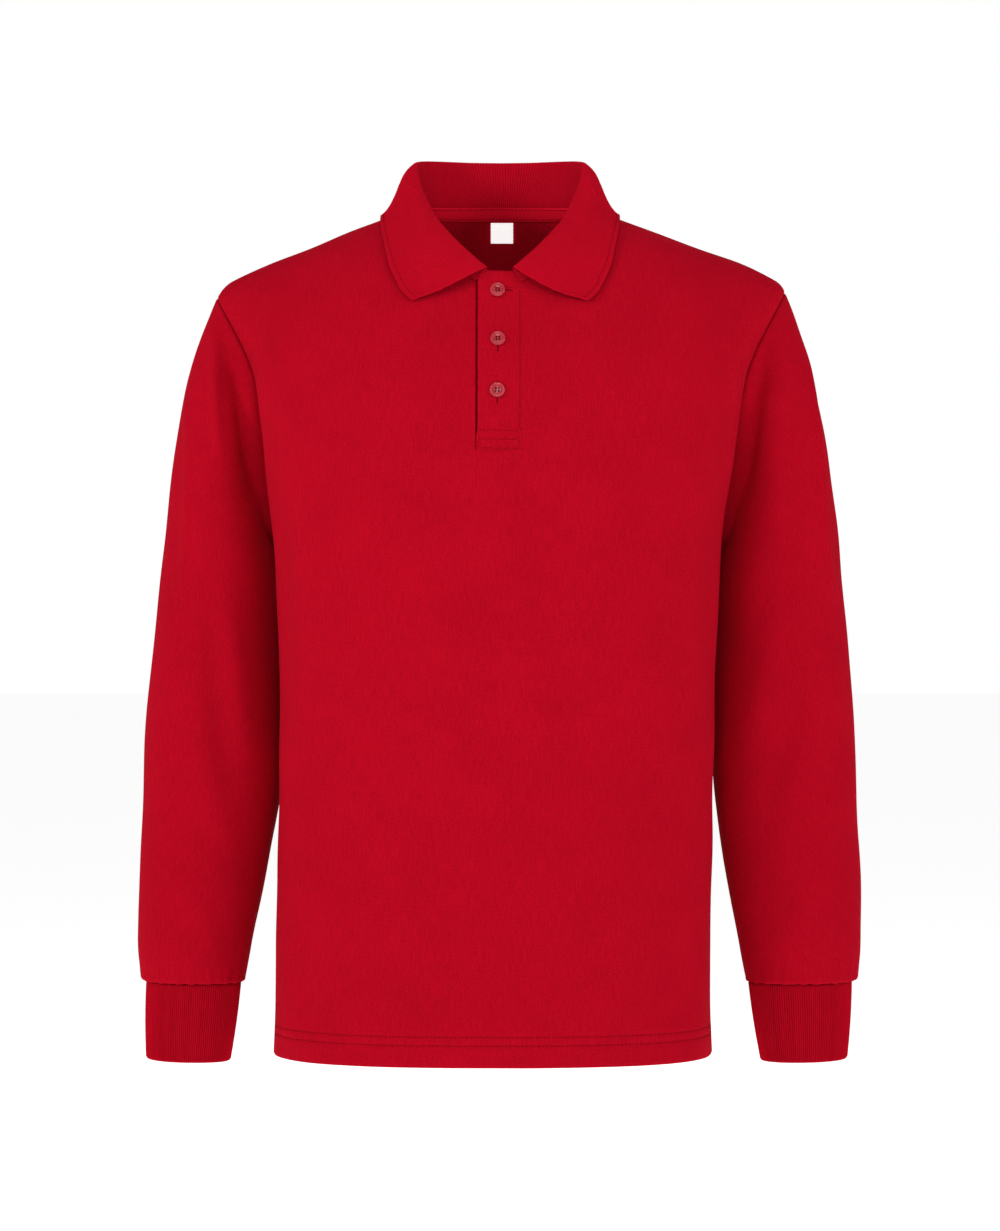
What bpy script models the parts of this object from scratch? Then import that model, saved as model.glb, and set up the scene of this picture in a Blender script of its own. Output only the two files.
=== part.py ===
# Long-sleeved polo sweatshirt, as it hangs when worn, with nobody in it. The front faces -Y and +Z is up.
# The origin is the base of the neck, midway between the two points where the shoulder seams meet the collar.
# The wearer's right is at -X. Every table and size here is in millimetres, and the meshes are in metres.
import math

import bmesh
import bpy
import numpy as np
from mathutils import Matrix, Vector
from mathutils.bvhtree import BVHTree

MM = 0.001


def table(names, *rows):
    # One array for each named column.
    return dict(zip(names.split(), np.array(rows, float).T))


# Sizes of the cloth
WALL = 1.6  # body and sleeves
SEAM_SHIFT = 0.2  # each side of a seam stands back this far, which leaves about 0.3 between pieces
HEM_FOLD = 25.0  # the turned-up hem is double this high
HEM_WALL = 3.1
HEM_STEP = 1.5  # over this height the doubled cloth ends
GAP = 0.35  # between a panel and a piece that lies on it
LEAST_SLANT = 0.6  # a wall cut at a slant grows no longer than its thickness divided by this

# Body sections. Half widths to the wearer's right and left, the depth where the section is widest,
# its front and back, and where the front and back panels end at the side.
BODY = table(
    "height right left widest front back front_end back_end",
    (-717, 191.0, 178.5, -22, -140, 115, -50, -50),
    (-672, 189.5, 177.5, -22, -138, 115, -48, -48),
    (-590, 188.5, 177.8, -24, -134, 116, -18, -18),
    (-500, 185.5, 179.0, -25, -131, 118, 0, 0),
    (-410, 186.5, 181.5, -27, -130, 119, 8, 8),
    (-335, 188.6, 184.5, -29, -130, 120, 13, 13),
    (-272, 192.0, 188.5, -31, -131, 120, 16, 16),
    (-214, 198.0, 197.0, -38, -127, 119, -14, 60),
    (-150, 206.0, 206.0, -45, -113.5, 113, -40, 80),
)
UNDERARM, PLACKET_FOOT, CHEST = -272.0, -214.0, -150.0
FRONT_ROUND, BACK_ROUND = 2.6, 2.15  # 2 is an ellipse and more is squarer
SECTION_STEPS = 1201
UP_STEP = 6.0  # the height over which the body's way up at the underarm is taken
UNDERARM_REACH = 26.0  # near the underarm the cloth turns in to the armhole over about this width

# Shoulder seams, from the collar out to the sleeve.
SHOULDER = table(
    "right right_height left left_height",
    (72.0, 0.0, 72.0, 0.0),
    (100.0, -11.3, 100.0, -10.6),
    (128.0, -22.3, 130.0, -21.9),
    (160.0, -36.3, 168.0, -36.6),
    (195.0, -49.8, 205.0, -49.6),
    (225.0, -63.4, 231.5, -62.6),
    (234.5, -70.2, 239.0, -68.2),
    (240.7, -79.0, 242.5, -74.5),
)
SHOULDER_DEPTH = -5.0  # the seam sits a little in front of the highest line

# Neckline where the collar is sewn on: a half ellipse in front and another behind.
NECK_HALF, NECK_FRONT, NECK_BACK = 72.0, 88.0, 70.0
NECK_DROP, NECK_RISE, NECK_BEND = -76.0, 5.0, 1.45
NECK_FRONT_TILT = (0.0, 0.35, 0.94)  # the way the front reaches the neckline
NECK_BACK_TILT = (0.0, -0.30, 0.95)
NECK_LEAN = 0.4  # how much of that lean there is beside the shoulder seam

# The slot for the placket, and columns and rows of cells in the panels.
SLOT_RIGHT, SLOT_LEFT = 19.5, 17.5
SHOULDER_CELLS, NECK_CELLS, SLOT_CELLS = 9, 6, 2
MIDDLE_SWELL = 0.35  # the middle of the front stands this far ahead of the slot's sides
FRONT_SHARE, BACK_SHARE = 0.66, 0.575  # of the width lies below the shoulder seam
LOWER_CELLS = 9
UPPER_CELLS = (3, 4, 5)  # to the placket's foot, to the chest and to the shoulder

# Sleeve sections: the outer and inner side, measured from the middle of the body, then the depth of
# the middle, half the depth, and how far the section's front is turned towards the body.
SLEEVE = table(
    "height right_out right_in left_out left_in middle half turn",
    (-320, 292.5, 183.5, 294.5, 181.5, 33, 66.0, 0.0),
    (-400, 300.0, 184.5, 300.5, 181.5, 28, 60.0, 0.0),
    (-500, 306.3, 188.5, 306.3, 184.0, 20, 54.0, 1.5),
    (-557, 308.0, 198.0, 308.0, 191.7, 12, 50.0, 3.0),
    (-608, 308.8, 207.5, 307.7, 200.2, 3, 46.5, 5.0),
    (-642, 307.0, 213.5, 306.0, 205.6, -3, 44.0, 7.0),
    (-655, 305.2, 216.8, 304.3, 209.0, -5, 43.0, 7.5),
)
SLEEVE_ROUND = 2.2
LEAVE_INNER = (0.36, 0.0, -0.92)  # the way the sleeve leaves the armhole at the underarm and the shoulder
LEAVE_SIDE = (0.78, 0.0, -0.58)  # and at its front and back
LEAVE_ROUND = 0.30  # how much it opens to the front and the back there
SLEEVE_TOP_CELLS, SLEEVE_CELLS = 8, 7
SLEEVE_END = -658.8
GATHER = np.array([0.3, 0.3, 0.62])  # where the sleeve turns in to the cuff, as shares of the way there

# Cuffs: top and bottom sections.
CUFF = table(
    "height right_out right_in left_out left_in middle half turn",
    (-659.2, 300.6, 220.2, 299.2, 211.2, -6, 38.5, 7.5),
    (-725.0, 300.2, 229.2, 294.6, 221.6, -9, 33.5, 9.0),
)
CUFF_RIBS = 84
FINE_STEPS = 4001  # points round a section from which evenly spaced ones are taken
RIB_HEIGHT = 0.7
CUFF_WALL = 1.9

# Collar, from its front end on one side round to the middle of the back: the seam to the neckline,
# the fold, and the outer edge. Each is out, depth, height.
COLLAR = table(
    "seam_x seam_y seam_z fold_x fold_y fold_z edge_x edge_y edge_z",
    (20.3, -84.4, -73.0, 11.5, -88.0, -62.3, 73.2, -88.8, -88.6),
    (27.5, -81.4, -69.6, 22.0, -82.0, -53.0, 78.7, -85.2, -84.2),
    (36.0, -76.2, -64.9, 34.0, -70.5, -41.0, 84.6, -78.4, -76.1),
    (46.3, -67.4, -56.7, 45.5, -57.0, -28.0, 92.0, -66.6, -60.6),
    (55.2, -56.6, -46.8, 54.5, -42.0, -16.0, 95.5, -55.3, -46.5),
    (62.4, -44.0, -35.5, 61.5, -28.0, -2.0, 98.2, -42.0, -34.0),
    (67.7, -30.1, -23.4, 66.5, -16.0, 10.0, 100.2, -29.5, -24.0),
    (71.0, -15.3, -11.1, 70.3, -7.0, 21.5, 101.2, -15.5, -16.0),
    (72.0, 0.0, 0.0, 72.3, 4.0, 31.0, 100.6, 1.0, -10.6),
    (70.3, 15.2, 0.7, 72.8, 18.0, 36.8, 95.8, 18.2, -14.0),
    (62.4, 35.0, 1.8, 66.5, 39.0, 41.0, 82.5, 38.0, -16.5),
    (46.3, 53.6, 3.3, 50.5, 60.0, 43.5, 60.5, 62.5, -11.5),
    (24.6, 65.8, 4.5, 27.0, 73.5, 44.3, 32.0, 77.5, -8.0),
    (0.0, 70.0, 5.0, 0.0, 78.0, 44.5, 0.0, 82.0, -7.0),
)
COLLAR_WALL = 1.8
COLLAR_ROLL = 0.8  # inner radius of the fold
COLLAR_CELLS = 30  # on each side
STAND_CELLS, ROLL_CELLS, FALL_CELLS = 2, 4, 5
FALL_BULGE = 3.4  # how far the fall swells just below the fold
BULGE_SCALE = 256 / 27  # one over the largest value of t(1 - t)^3
BODY_MIDDLE = Vector((0, 0, -150))
COLLAR_CLEAR = 1.6  # the fall stays at least this far from what it lies on
COLLAR_REST = 0.6  # and its edge drops by this share of what it stands further off
STRIP_REACH = 12.0  # how near the fall comes to the placket before it is kept clear of it

# Placket: upper strip and under strip, each as widths to the wearer's right (-) and left.
UPPER_STRIP = (-18.0, 16.8)
UNDER_STRIP = (-18.9, 12.5)
STRIP_WALL = 1.5
UPPER_LIFT = (1.9, 0.1)  # above the panel, at its free side and at its sewn side
PLACKET_TOP = -63.5
UNDER_TOP = -66.0
STRIP_CELLS, STRIP_COLUMNS = 14, 6
STRIP_FOOT = 0.6  # the strips end this far above the foot of the slot
STRIP_LEAD = 1.5  # and leave the panel's form this far below the neckline
AHEAD = -400.0  # a depth in front of the whole garment
UPPER_CORNERS, UNDER_CORNERS = (7.5, 3.5), (6.0, 3.5)

# Buttons
BUTTONS = table("across height", (-2.0, -80.5), (-1.8, -122.0), (-2.2, -165.0))
BUTTON_NAMES = ("button_top", "button_middle", "button_low")
BUTTON_PROFILE = (
    (0.0, 0.0), (4.9, 0.0), (5.9, 0.5), (6.25, 1.2), (6.0, 1.9),
    (5.2, 2.25), (4.5, 2.0), (4.0, 1.45), (0.0, 1.35),
)
BUTTON_STEPS = 18
HOLE_RADIUS, HOLE_SPREAD, HOLE_DEPTH, HOLE_SIDES = 0.75, 1.35, 8.0, 6

# Neck tape and label, inside the back neck
TAPE_HALF_ANGLE = math.radians(44)
TAPE_BELOW, TAPE_HIGH = 1.2, 9.5  # below the neckline, and how wide the tape is
TAPE_WALL, TAPE_OFF, TAPE_CELLS = 0.8, 0.75, 16
LABEL = (-8.0, 11.4, -7.2, -24.2)
LABEL_WALL, LABEL_POINTS = 0.6, (4, 3)
LABEL_OFF = (0.75, 1.0)  # how far it hangs off the back at its top, and how much further at its foot

# Creases: soft ridges and troughs pressed into the sleeves and the body.
# A crease runs from one point to another on the front view and stands up by its height.
CREASE_FADE = 2.5  # a crease dies out over its length divided by this
CREASE_SIDE = 2.2  # and towards the sides of the garment, more suddenly where this is more
CREASES = table(
    "x0 z0 x1 z1 wide high front",
    (-234.0, -300.0, -211.0, -470.0, 12.0, 3.0, 1),
    (-246.0, -345.0, -228.0, -500.0, 11.0, -2.6, 1),
    (-262.0, -430.0, -222.0, -560.0, 13.0, 2.2, 1),
    (-248.0, -98.0, -262.0, -210.0, 10.0, 1.6, 1),
    (256.0, -120.0, 284.0, -330.0, 10.0, 2.4, 1),
    (238.0, -150.0, 252.0, -330.0, 12.0, -2.6, 1),
    (236.0, -330.0, 206.0, -470.0, 13.0, 3.0, 1),
    (262.0, -380.0, 218.0, -545.0, 12.0, -2.4, 1),
    (-240.0, -260.0, -262.0, -470.0, 13.0, 2.6, 0),
    (-262.0, -300.0, -232.0, -450.0, 12.0, -2.4, 0),
    (240.0, -250.0, 262.0, -440.0, 13.0, 2.6, 0),
    (262.0, -330.0, 230.0, -500.0, 12.0, -2.4, 0),
    (-176.0, -570.0, -172.0, -700.0, 9.0, 1.6, 1),
    (-160.0, -560.0, -163.0, -690.0, 9.0, -1.4, 1),
    (166.0, -600.0, 164.0, -712.0, 9.0, 1.4, 1),
    (-120.0, -230.0, -60.0, -400.0, 22.0, 1.6, 0),
    (110.0, -240.0, 70.0, -430.0, 24.0, 1.6, 0),
    (-90.0, -480.0, -110.0, -690.0, 26.0, 2.0, 0),
    (84.0, -500.0, 98.0, -700.0, 26.0, 1.8, 0),
    (0.0, -470.0, 6.0, -690.0, 24.0, -1.8, 0),
)

COLOURS = {
    "jersey": (0.50, 0.006, 0.022, 1.0),
    "rib": (0.43, 0.005, 0.018, 1.0),
    "tape": (0.55, 0.02, 0.04, 1.0),
    "label": (0.85, 0.85, 0.84, 1.0),
    "button": (0.40, 0.03, 0.045, 1.0),
}
ROUGH = {"jersey": 0.9, "rib": 0.92, "tape": 0.8, "label": 0.55, "button": 0.25}


# Small helpers for arrays of points
def unit(v):
    return v / np.maximum(np.linalg.norm(v, axis=-1, keepdims=True), 1e-12)


def dot(a, b):
    return (a * b).sum(-1, keepdims=True)


def smooth(at, x, y):
    # A cubic curve through the points (x, y), which may be columns of several values.
    x, y = np.asarray(x, float), np.asarray(y, float)
    slope = np.gradient(y, x, axis=0)
    at = np.clip(np.asarray(at, float), x[0], x[-1])
    i = np.clip(np.searchsorted(x, at) - 1, 0, len(x) - 2)
    step = x[i + 1] - x[i]
    t = (at - x[i]) / step
    if y.ndim > 1:
        t, step = t[..., None], step[..., None]
    return (
        (2 * t**3 - 3 * t**2 + 1) * y[i]
        + (t**3 - 2 * t**2 + t) * step * slope[i]
        + (3 * t**2 - 2 * t**3) * y[i + 1]
        + (t**3 - t**2) * step * slope[i + 1]
    )


def along(points):
    # Distance from the first point of a polyline to each of its points.
    return np.concatenate([[0.0], np.cumsum(np.linalg.norm(np.diff(points, axis=0), axis=1))])


def spaced(points, shares):
    # The points that lie at these shares of a polyline's length.
    length = along(points)
    at = np.asarray(shares) * length[-1]
    return np.stack([np.interp(at, length, points[:, k]) for k in range(3)], axis=1)


def hermite(p0, p1, d0, d1, t):
    # The curve from p0 to p1 that leaves along d0 and arrives along d1.
    return (
        (2 * t**3 - 3 * t**2 + 1) * p0 + (t**3 - 2 * t**2 + t) * d0
        + (3 * t**2 - 2 * t**3) * p1 + (t**3 - t**2) * d1
    )


def normals(grid):
    # Unit normals of a grid of points, from the differences between neighbours.
    return unit(np.cross(np.gradient(grid, axis=0, edge_order=2), np.gradient(grid, axis=1, edge_order=2)))


# Body panels
def side_section(height, side):
    # Half of a body section on one side, from the middle of the back to the middle of the front.
    row = {k: float(smooth(height, BODY["height"], BODY[k])) for k in BODY if k != "height"}
    if height <= UNDERARM:
        row["front_end"] = row["back_end"] = (row["front_end"] + row["back_end"]) / 2
    a = np.linspace(-math.pi / 2, math.pi / 2, SECTION_STEPS)
    power = np.where(a < 0, 2 / BACK_ROUND, 2 / FRONT_ROUND)
    deep = np.where(a < 0, row["back"] - row["widest"], row["widest"] - row["front"])
    x = row[side] * np.cos(a) ** power
    y = row["widest"] - np.sign(a) * deep * np.abs(np.sin(a)) ** power
    return np.stack([x, y, np.full_like(x, height)], axis=1), row


def part_of(points, start, stop):
    # The stretch of a polyline between two distances along it.
    length = along(points)
    keep = (length > start) & (length < stop)
    ends = [np.array([np.interp(s, length, points[:, k]) for k in range(3)]) for s in (start, stop)]
    return np.vstack([ends[0], points[keep], ends[1]])


def shares(cells):
    return np.linspace(0, 1, cells + 1)


def front_half(height, side):
    # Points of a front section from the side seam or armhole to the edge of the slot.
    points, row = side_section(height, side)
    length = along(points)
    slot = SLOT_RIGHT if side == "right" else SLOT_LEFT
    start = np.interp(-row["front_end"], -points[:, 1], length)
    ahead = points[:, 1] < row["widest"]
    stop = np.interp(-slot, -points[ahead, 0], length[ahead])
    stretch = part_of(points, start, stop)
    at = np.concatenate([
        FRONT_SHARE * shares(SHOULDER_CELLS),
        FRONT_SHARE + (1 - FRONT_SHARE) * shares(NECK_CELLS)[1:],
    ])
    return spaced(stretch, at)


def back_half(height, side):
    points, row = side_section(height, side)
    points = points[::-1]
    length = along(points)
    start = np.interp(row["back_end"], points[:, 1], length)
    at = np.concatenate([
        BACK_SHARE * shares(SHOULDER_CELLS),
        BACK_SHARE + (1 - BACK_SHARE) * shares(NECK_CELLS + 1)[1:],
    ])
    return spaced(part_of(points, start, length[-1]), at)


def neckline(angle):
    # A point of the neckline on the wearer's left. The angle is 0 at the shoulder, 90 degrees at the front.
    s = np.sin(angle)
    deep = np.where(s > 0, NECK_FRONT, NECK_BACK)
    height = np.where(s > 0, NECK_DROP * np.abs(s) ** NECK_BEND, NECK_RISE * np.abs(s) ** 1.5)
    return np.stack([NECK_HALF * np.cos(angle), -deep * s, height], axis=-1)


def shoulder(side):
    # The shoulder seam from the armhole in to the neckline.
    t = np.linspace(0, 1, 60)
    rows = np.linspace(0, 1, len(SHOULDER[side]))
    x = smooth(t, rows, SHOULDER[side])
    z = smooth(t, rows, SHOULDER[side + "_height"])
    y = SHOULDER_DEPTH * np.sin(np.pi * np.clip(t / 1.6, 0, 1))
    return np.stack([x, y, z], axis=1)[::-1]


def top_of(side, front):
    # The upper boundary of a half panel, from the armhole along the shoulder and the neckline.
    seam = spaced(shoulder(side), shares(SHOULDER_CELLS))
    slot = SLOT_RIGHT if side == "right" else SLOT_LEFT
    last = math.acos(slot / NECK_HALF) if front else -math.pi / 2
    neck = neckline(np.linspace(0, last, 200))
    cells = NECK_CELLS if front else NECK_CELLS + 1
    return np.vstack([seam, spaced(neck, shares(cells))[1:]])


def reach_of(points, front):
    # The way each column arrives at the upper boundary.
    sign = 1.0 if front else -1.0
    tilt = np.array(NECK_FRONT_TILT if front else NECK_BACK_TILT)
    flat = np.array([0.0, 1.0, 0.12]) * sign if front else np.array([0.0, -1.0, -0.12])
    n = len(points) - SHOULDER_CELLS - 1
    near_neck = np.clip((np.arange(SHOULDER_CELLS + 1) - 3) / (SHOULDER_CELLS - 3), 0, 1)
    share = np.concatenate([NECK_LEAN * near_neck**2, NECK_LEAN + (1 - NECK_LEAN) * shares(n)[1:]])
    return unit((1 - share[:, None]) * flat + share[:, None] * tilt)


def half_panel(side, front):
    # Rows of points from the hem up, for one side. Each row runs from the side to the middle.
    half = front_half if front else back_half
    low = list(np.linspace(-717, UNDERARM, LOWER_CELLS + 1))
    low = [low[0], low[0] + HEM_FOLD, low[0] + HEM_FOLD + HEM_STEP] + low[1:]
    rows = [half(z, side) for z in low]
    ring = [half(z, side) for z in (UNDERARM, PLACKET_FOOT, CHEST)]
    ring.append(top_of(side, front))
    below = half(UNDERARM - UP_STEP, side)
    up = unit(ring[0] - below)
    turn = unit(np.gradient(ring[0], axis=0, edge_order=2))
    near = np.exp(-np.linalg.norm(ring[0] - ring[0][0], axis=1, keepdims=True) / UNDERARM_REACH)
    chord = [np.linalg.norm(b - a, axis=1, keepdims=True) for a, b in zip(ring, ring[1:])]
    leave = unit(up * (1 - near) + turn * near)
    ways = [leave]
    for k in (1, 2):
        before, after = (ring[k] - ring[k - 1]) / chord[k - 1], (ring[k + 1] - ring[k]) / chord[k]
        ways.append(unit(before * chord[k] + after * chord[k - 1]))
    ways.append(reach_of(ring[3], front))
    for k, cells in enumerate(UPPER_CELLS):
        for t in shares(cells)[1:]:
            rows.append(hermite(ring[k], ring[k + 1], ways[k] * chord[k], ways[k + 1] * chord[k], t))
    return np.array(rows)


def mirrored(rows):
    return rows * np.array([-1.0, 1.0, 1.0])


def panel(front):
    # The whole panel as columns from the wearer's right to the left, by rows from the hem up.
    right, left = mirrored(half_panel("right", front)), half_panel("left", front)
    if front:
        middle = [right[:, -1] + (left[:, -1] - right[:, -1]) * t for t in shares(SLOT_CELLS)[1:-1]]
        middle = [m - np.array([0.0, MIDDLE_SWELL, 0.0]) for m in middle]
        columns = [right] + [m[:, None] for m in middle] + [left[:, ::-1]]
    else:
        columns = [right, left[:, -2::-1]]
    return np.concatenate(columns, axis=1).transpose(1, 0, 2)


def crease_field(points, facing):
    # How far each point moves out along its normal for the creases near it.
    out = np.zeros(points.shape[:-1])
    for x0, z0, x1, z1, wide, high, front in zip(*CREASES.values()):
        a, b = np.array([x0, z0]), np.array([x1, z1])
        p = points[..., [0, 2]]
        t = ((p - a) @ (b - a)) / ((b - a) @ (b - a))
        off = np.linalg.norm(p - a - np.clip(t, 0, 1)[..., None] * (b - a), axis=-1)
        past = np.maximum(-t, t - 1)
        fade = np.clip(1 - past * CREASE_FADE, 0, 1) ** 2 * np.sin(np.pi * np.clip(t * 0.9 + 0.05, 0, 1))
        side = np.clip((-facing if front else facing) * CREASE_SIDE, 0, 1)
        out += high * np.exp(-((off / wide) ** 2)) * fade * side
    return out


# Solids
def add(name, vertices, faces, material, smooth_shading=True):
    # A mesh object in the garment's collection, its faces turned outward.
    mesh = bpy.data.meshes.new(name)
    mesh.from_pydata([tuple(v) for v in np.asarray(vertices) * MM], [], faces)
    bm = bmesh.new()
    bm.from_mesh(mesh)
    loose = [v for v in bm.verts if not v.link_faces]
    bmesh.ops.delete(bm, geom=loose, context="VERTS")
    if bm.calc_volume(signed=True) < 0:
        bmesh.ops.reverse_faces(bm, faces=bm.faces[:])
    bm.to_mesh(mesh)
    bm.free()
    mesh.polygons.foreach_set("use_smooth", [smooth_shading] * len(mesh.polygons))
    mesh.materials.append(material)
    thing = bpy.data.objects.new(name, mesh)
    GARMENT.objects.link(thing)
    return thing


def shell(name, outer, inner, material, keep=None, closed=False):
    # A wall between two grids of points, with a rim wherever a kept cell has no neighbour.
    columns, rows = outer.shape[:2]
    count = columns * rows
    cells = np.ones((columns if closed else columns - 1, rows - 1), bool) if keep is None else keep
    faces, edges = [], {}
    for i, j in zip(*np.nonzero(cells)):
        a, b = i * rows + j, (i + 1) % columns * rows + j
        ring = (a, b, b + 1, a + 1)
        faces.append(ring)
        faces.append(tuple(v + count for v in reversed(ring)))
        for k in range(4):
            edges[(ring[k], ring[(k + 1) % 4])] = True
    for a, b in edges:
        if (b, a) not in edges:
            faces.append((b, a, a + count, b + count))
    return add(name, np.vstack([outer.reshape(-1, 3), inner.reshape(-1, 3)]), faces, material)


def tree_of(grid, closed=False):
    # A search tree over a grid of points, in millimetres.
    columns, rows = grid.shape[:2]
    last = columns if closed else columns - 1
    faces = [
        (i * rows + j, (i + 1) % columns * rows + j, (i + 1) % columns * rows + j + 1, i * rows + j + 1)
        for i in range(last) for j in range(rows - 1)
    ]
    return BVHTree.FromPolygons([Vector(p) for p in grid.reshape(-1, 3)], faces)


def inward(outer, out, wall, way):
    # The inner face of a wall, along a way that the pieces at a seam share.
    return outer - wall * way / np.maximum(dot(way, out), LEAST_SLANT)


# Sleeves
def sleeve_section(side, height, angle, source=SLEEVE):
    # A closed section. The angle is 0 beside the body, 90 degrees at the front and 180 outside.
    row = {k: smooth(height, source["height"][::-1], source[k][::-1]) for k in source if k != "height"}
    middle, half = (row[side + "_out"] + row[side + "_in"]) / 2, (row[side + "_out"] - row[side + "_in"]) / 2
    c, s = np.cos(angle), np.sin(angle)
    x = middle - half * np.sign(c) * np.abs(c) ** (2 / SLEEVE_ROUND) - row["turn"] * s
    y = row["middle"] - row["half"] * np.sign(s) * np.abs(s) ** (2 / SLEEVE_ROUND)
    return np.stack([x, y, np.full_like(x, height)], axis=-1)


def sleeve(side, loop):
    # Columns round the armhole by rows down the sleeve. The loop runs from the underarm up the front.
    low = SLEEVE["height"][0]
    top = int(np.argmax(loop[:, 2]))
    length = along(np.vstack([loop, loop[:1]]))
    angle = np.where(
        length[:-1] <= length[top],
        math.pi * length[:-1] / length[top],
        math.pi + math.pi * (length[:-1] - length[top]) / (length[-1] - length[top]),
    )
    first = sleeve_section(side, low, angle)
    second = sleeve_section(side, low - 10, angle)
    chord = np.linalg.norm(first - loop, axis=1, keepdims=True)
    across = np.sin(angle)[:, None] ** 2
    around = np.hstack([np.zeros_like(across), -np.sin(angle)[:, None], np.zeros_like(across)])
    leave = unit(np.array(LEAVE_INNER) * (1 - across) + np.array(LEAVE_SIDE) * across + LEAVE_ROUND * around)
    arrive = unit(second - first)
    rows = [hermite(loop, first, leave * chord, arrive * chord, t) for t in shares(SLEEVE_TOP_CELLS)]
    heights = np.linspace(low, SLEEVE["height"][-1], SLEEVE_CELLS + 1)[1:]
    rows += [sleeve_section(side, z, angle) for z in heights]
    end = sleeve_section(side, CUFF["height"][0], angle, CUFF)
    last = rows[-1]
    end[:, 2] = SLEEVE_END
    rows += [last + (end - last) * GATHER, end]
    return np.array(rows).transpose(1, 0, 2)


def cuff(side):
    # A ribbed tube: every other outer point stands up over a plain inside.
    angle = np.linspace(0, 2 * math.pi, 2 * CUFF_RIBS, endpoint=False)
    outer = np.zeros((2 * CUFF_RIBS, 2, 3))
    fine = np.linspace(0, 2 * math.pi, FINE_STEPS)
    for j, z in enumerate(CUFF["height"]):
        outer[:, j] = spaced(sleeve_section(side, z, fine, CUFF), np.arange(len(angle)) / len(angle))
    round_ = unit(np.roll(outer, -1, axis=0) - np.roll(outer, 1, axis=0))
    out = unit(np.cross(round_, np.array([0.0, 0.0, 1.0])))
    if dot(out[0, 0], outer[0, 0] - outer[CUFF_RIBS, 0]) < 0:
        out = -out
    inner = outer - CUFF_WALL * out
    outer[1::2] -= RIB_HEIGHT * out[1::2]
    return outer, inner


# Collar
def collar_lines():
    # The seam, fold and edge lines of the whole collar, from the wearer's right front round to the left.
    rows = len(COLLAR["seam_x"])
    t = np.linspace(0, rows - 1, COLLAR_CELLS + 1)
    lines = []
    for name in ("seam", "fold", "edge"):
        points = np.stack([COLLAR[f"{name}_{axis}"] for axis in "xyz"], axis=1)
        half = smooth(t, np.arange(rows), points)
        half = spaced(half, shares(COLLAR_CELLS)) if name == "seam" else half
        lines.append(np.vstack([mirrored(half), half[-2::-1]]))
    return lines


def snapped(points, line):
    # Each point moved to the nearest spot of a polyline, with that spot's stretch and share of it.
    start, step = line[None, :-1], line[None, 1:] - line[None, :-1]
    share = np.clip(dot(points[:, None] - start, step) / dot(step, step), 0, 1)
    spot = start + share * step
    index = np.argmin(np.linalg.norm(points[:, None] - spot, axis=2), axis=1)
    pick = np.arange(len(points))
    return spot[pick, index], index, share[pick, index]


def between(values, index, share):
    return values[index] * (1 - share) + values[index + 1] * share


def collar_grid(neck):
    # The face of the collar that is turned to the body: up the stand, over the fold and down the fall.
    seam, fold, edge = collar_lines()
    seam = snapped(seam, neck)[0]
    rise = unit(fold - seam)
    fall = unit(edge - fold)
    side = unit(fall - dot(fall, rise) * rise)
    turn = np.arccos(np.clip(dot(rise, fall), -1, 1))
    top = fold - COLLAR_ROLL * (rise + side)
    rows = [seam + (top - seam) * t for t in shares(STAND_CELLS)]
    for t in shares(ROLL_CELLS)[1:]:
        a = turn * t
        rows.append(top + COLLAR_ROLL * (side * (1 - np.cos(a)) + rise * np.sin(a)))
    start = rows[-1]
    drop = edge - start
    out = unit(np.cross(np.gradient(fold, axis=0), drop))
    for t in shares(FALL_CELLS)[1:]:
        rows.append(start + drop * t + out * FALL_BULGE * BULGE_SCALE * t * (1 - t) ** 3)
    return np.array(rows).transpose(1, 0, 2)


def over(point, tree):
    # How far a point stands out from a surface, the way out there, and how far the surface is.
    spot, normal, _, away = tree.find_nearest(Vector(point))
    if normal.dot(spot - BODY_MIDDLE) < 0:
        normal = -normal
    return (Vector(point) - spot).dot(normal), np.array(normal), away


def laid(fall, panels, strip_tree):
    # Lowers the fall towards the body, most at its edge, and keeps it clear of what it lies on.
    moved = fall.copy()
    for i, j in np.ndindex(fall.shape[:2]):
        high, out, _ = min((over(moved[i, j], tree) for tree in panels), key=lambda found: found[2])
        rest = COLLAR_REST * ((j + 1) / fall.shape[1]) ** 2 if high > COLLAR_CLEAR else 1.0
        moved[i, j] += (COLLAR_CLEAR - high) * rest * out
        high, out, away = over(moved[i, j], strip_tree)
        if away < STRIP_REACH and high < COLLAR_CLEAR:
            moved[i, j] += (COLLAR_CLEAR - high) * out
    return moved


# Pieces laid on a panel
def on_front(x, z, tree, foot):
    # The point of the front at this width and height, and its normal. It goes on straight above the foot.
    top = min(z, foot)
    hit, normal, _, _ = tree.ray_cast(Vector((x, AHEAD, top)), Vector((0, 1, 0)))
    point = np.array(hit)
    if z > foot:
        slope = NECK_FRONT_TILT[1] / NECK_FRONT_TILT[2]
        point = point + np.array([0, slope * (z - foot), z - foot])
    normal = np.array(normal)
    return point, normal if normal[1] < 0 else -normal


def strip(tree, sides, top, lift, corners):
    # Outer face of a placket strip, with its two upper corners rounded.
    outer, out = (np.zeros((STRIP_COLUMNS + 1, STRIP_CELLS + 1, 3)) for _ in range(2))
    for j, z in enumerate(np.linspace(PLACKET_FOOT + STRIP_FOOT, top, STRIP_CELLS + 1)):
        near = [min(1.0, max(0.0, (z - top + corner) / corner)) for corner in corners]
        cut = [corner * (1 - math.sqrt(1 - n**2)) for corner, n in zip(corners, near)]
        for i, x in enumerate(np.linspace(sides[0] + cut[0], sides[1] - cut[1], STRIP_COLUMNS + 1)):
            point, normal = on_front(x, z, tree, NECK_DROP - STRIP_LEAD)
            share = (x - sides[0]) / (sides[1] - sides[0])
            outer[i, j] = point + normal * (lift[0] + (lift[1] - lift[0]) * share)
            out[i, j] = normal
    return outer, out


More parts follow.
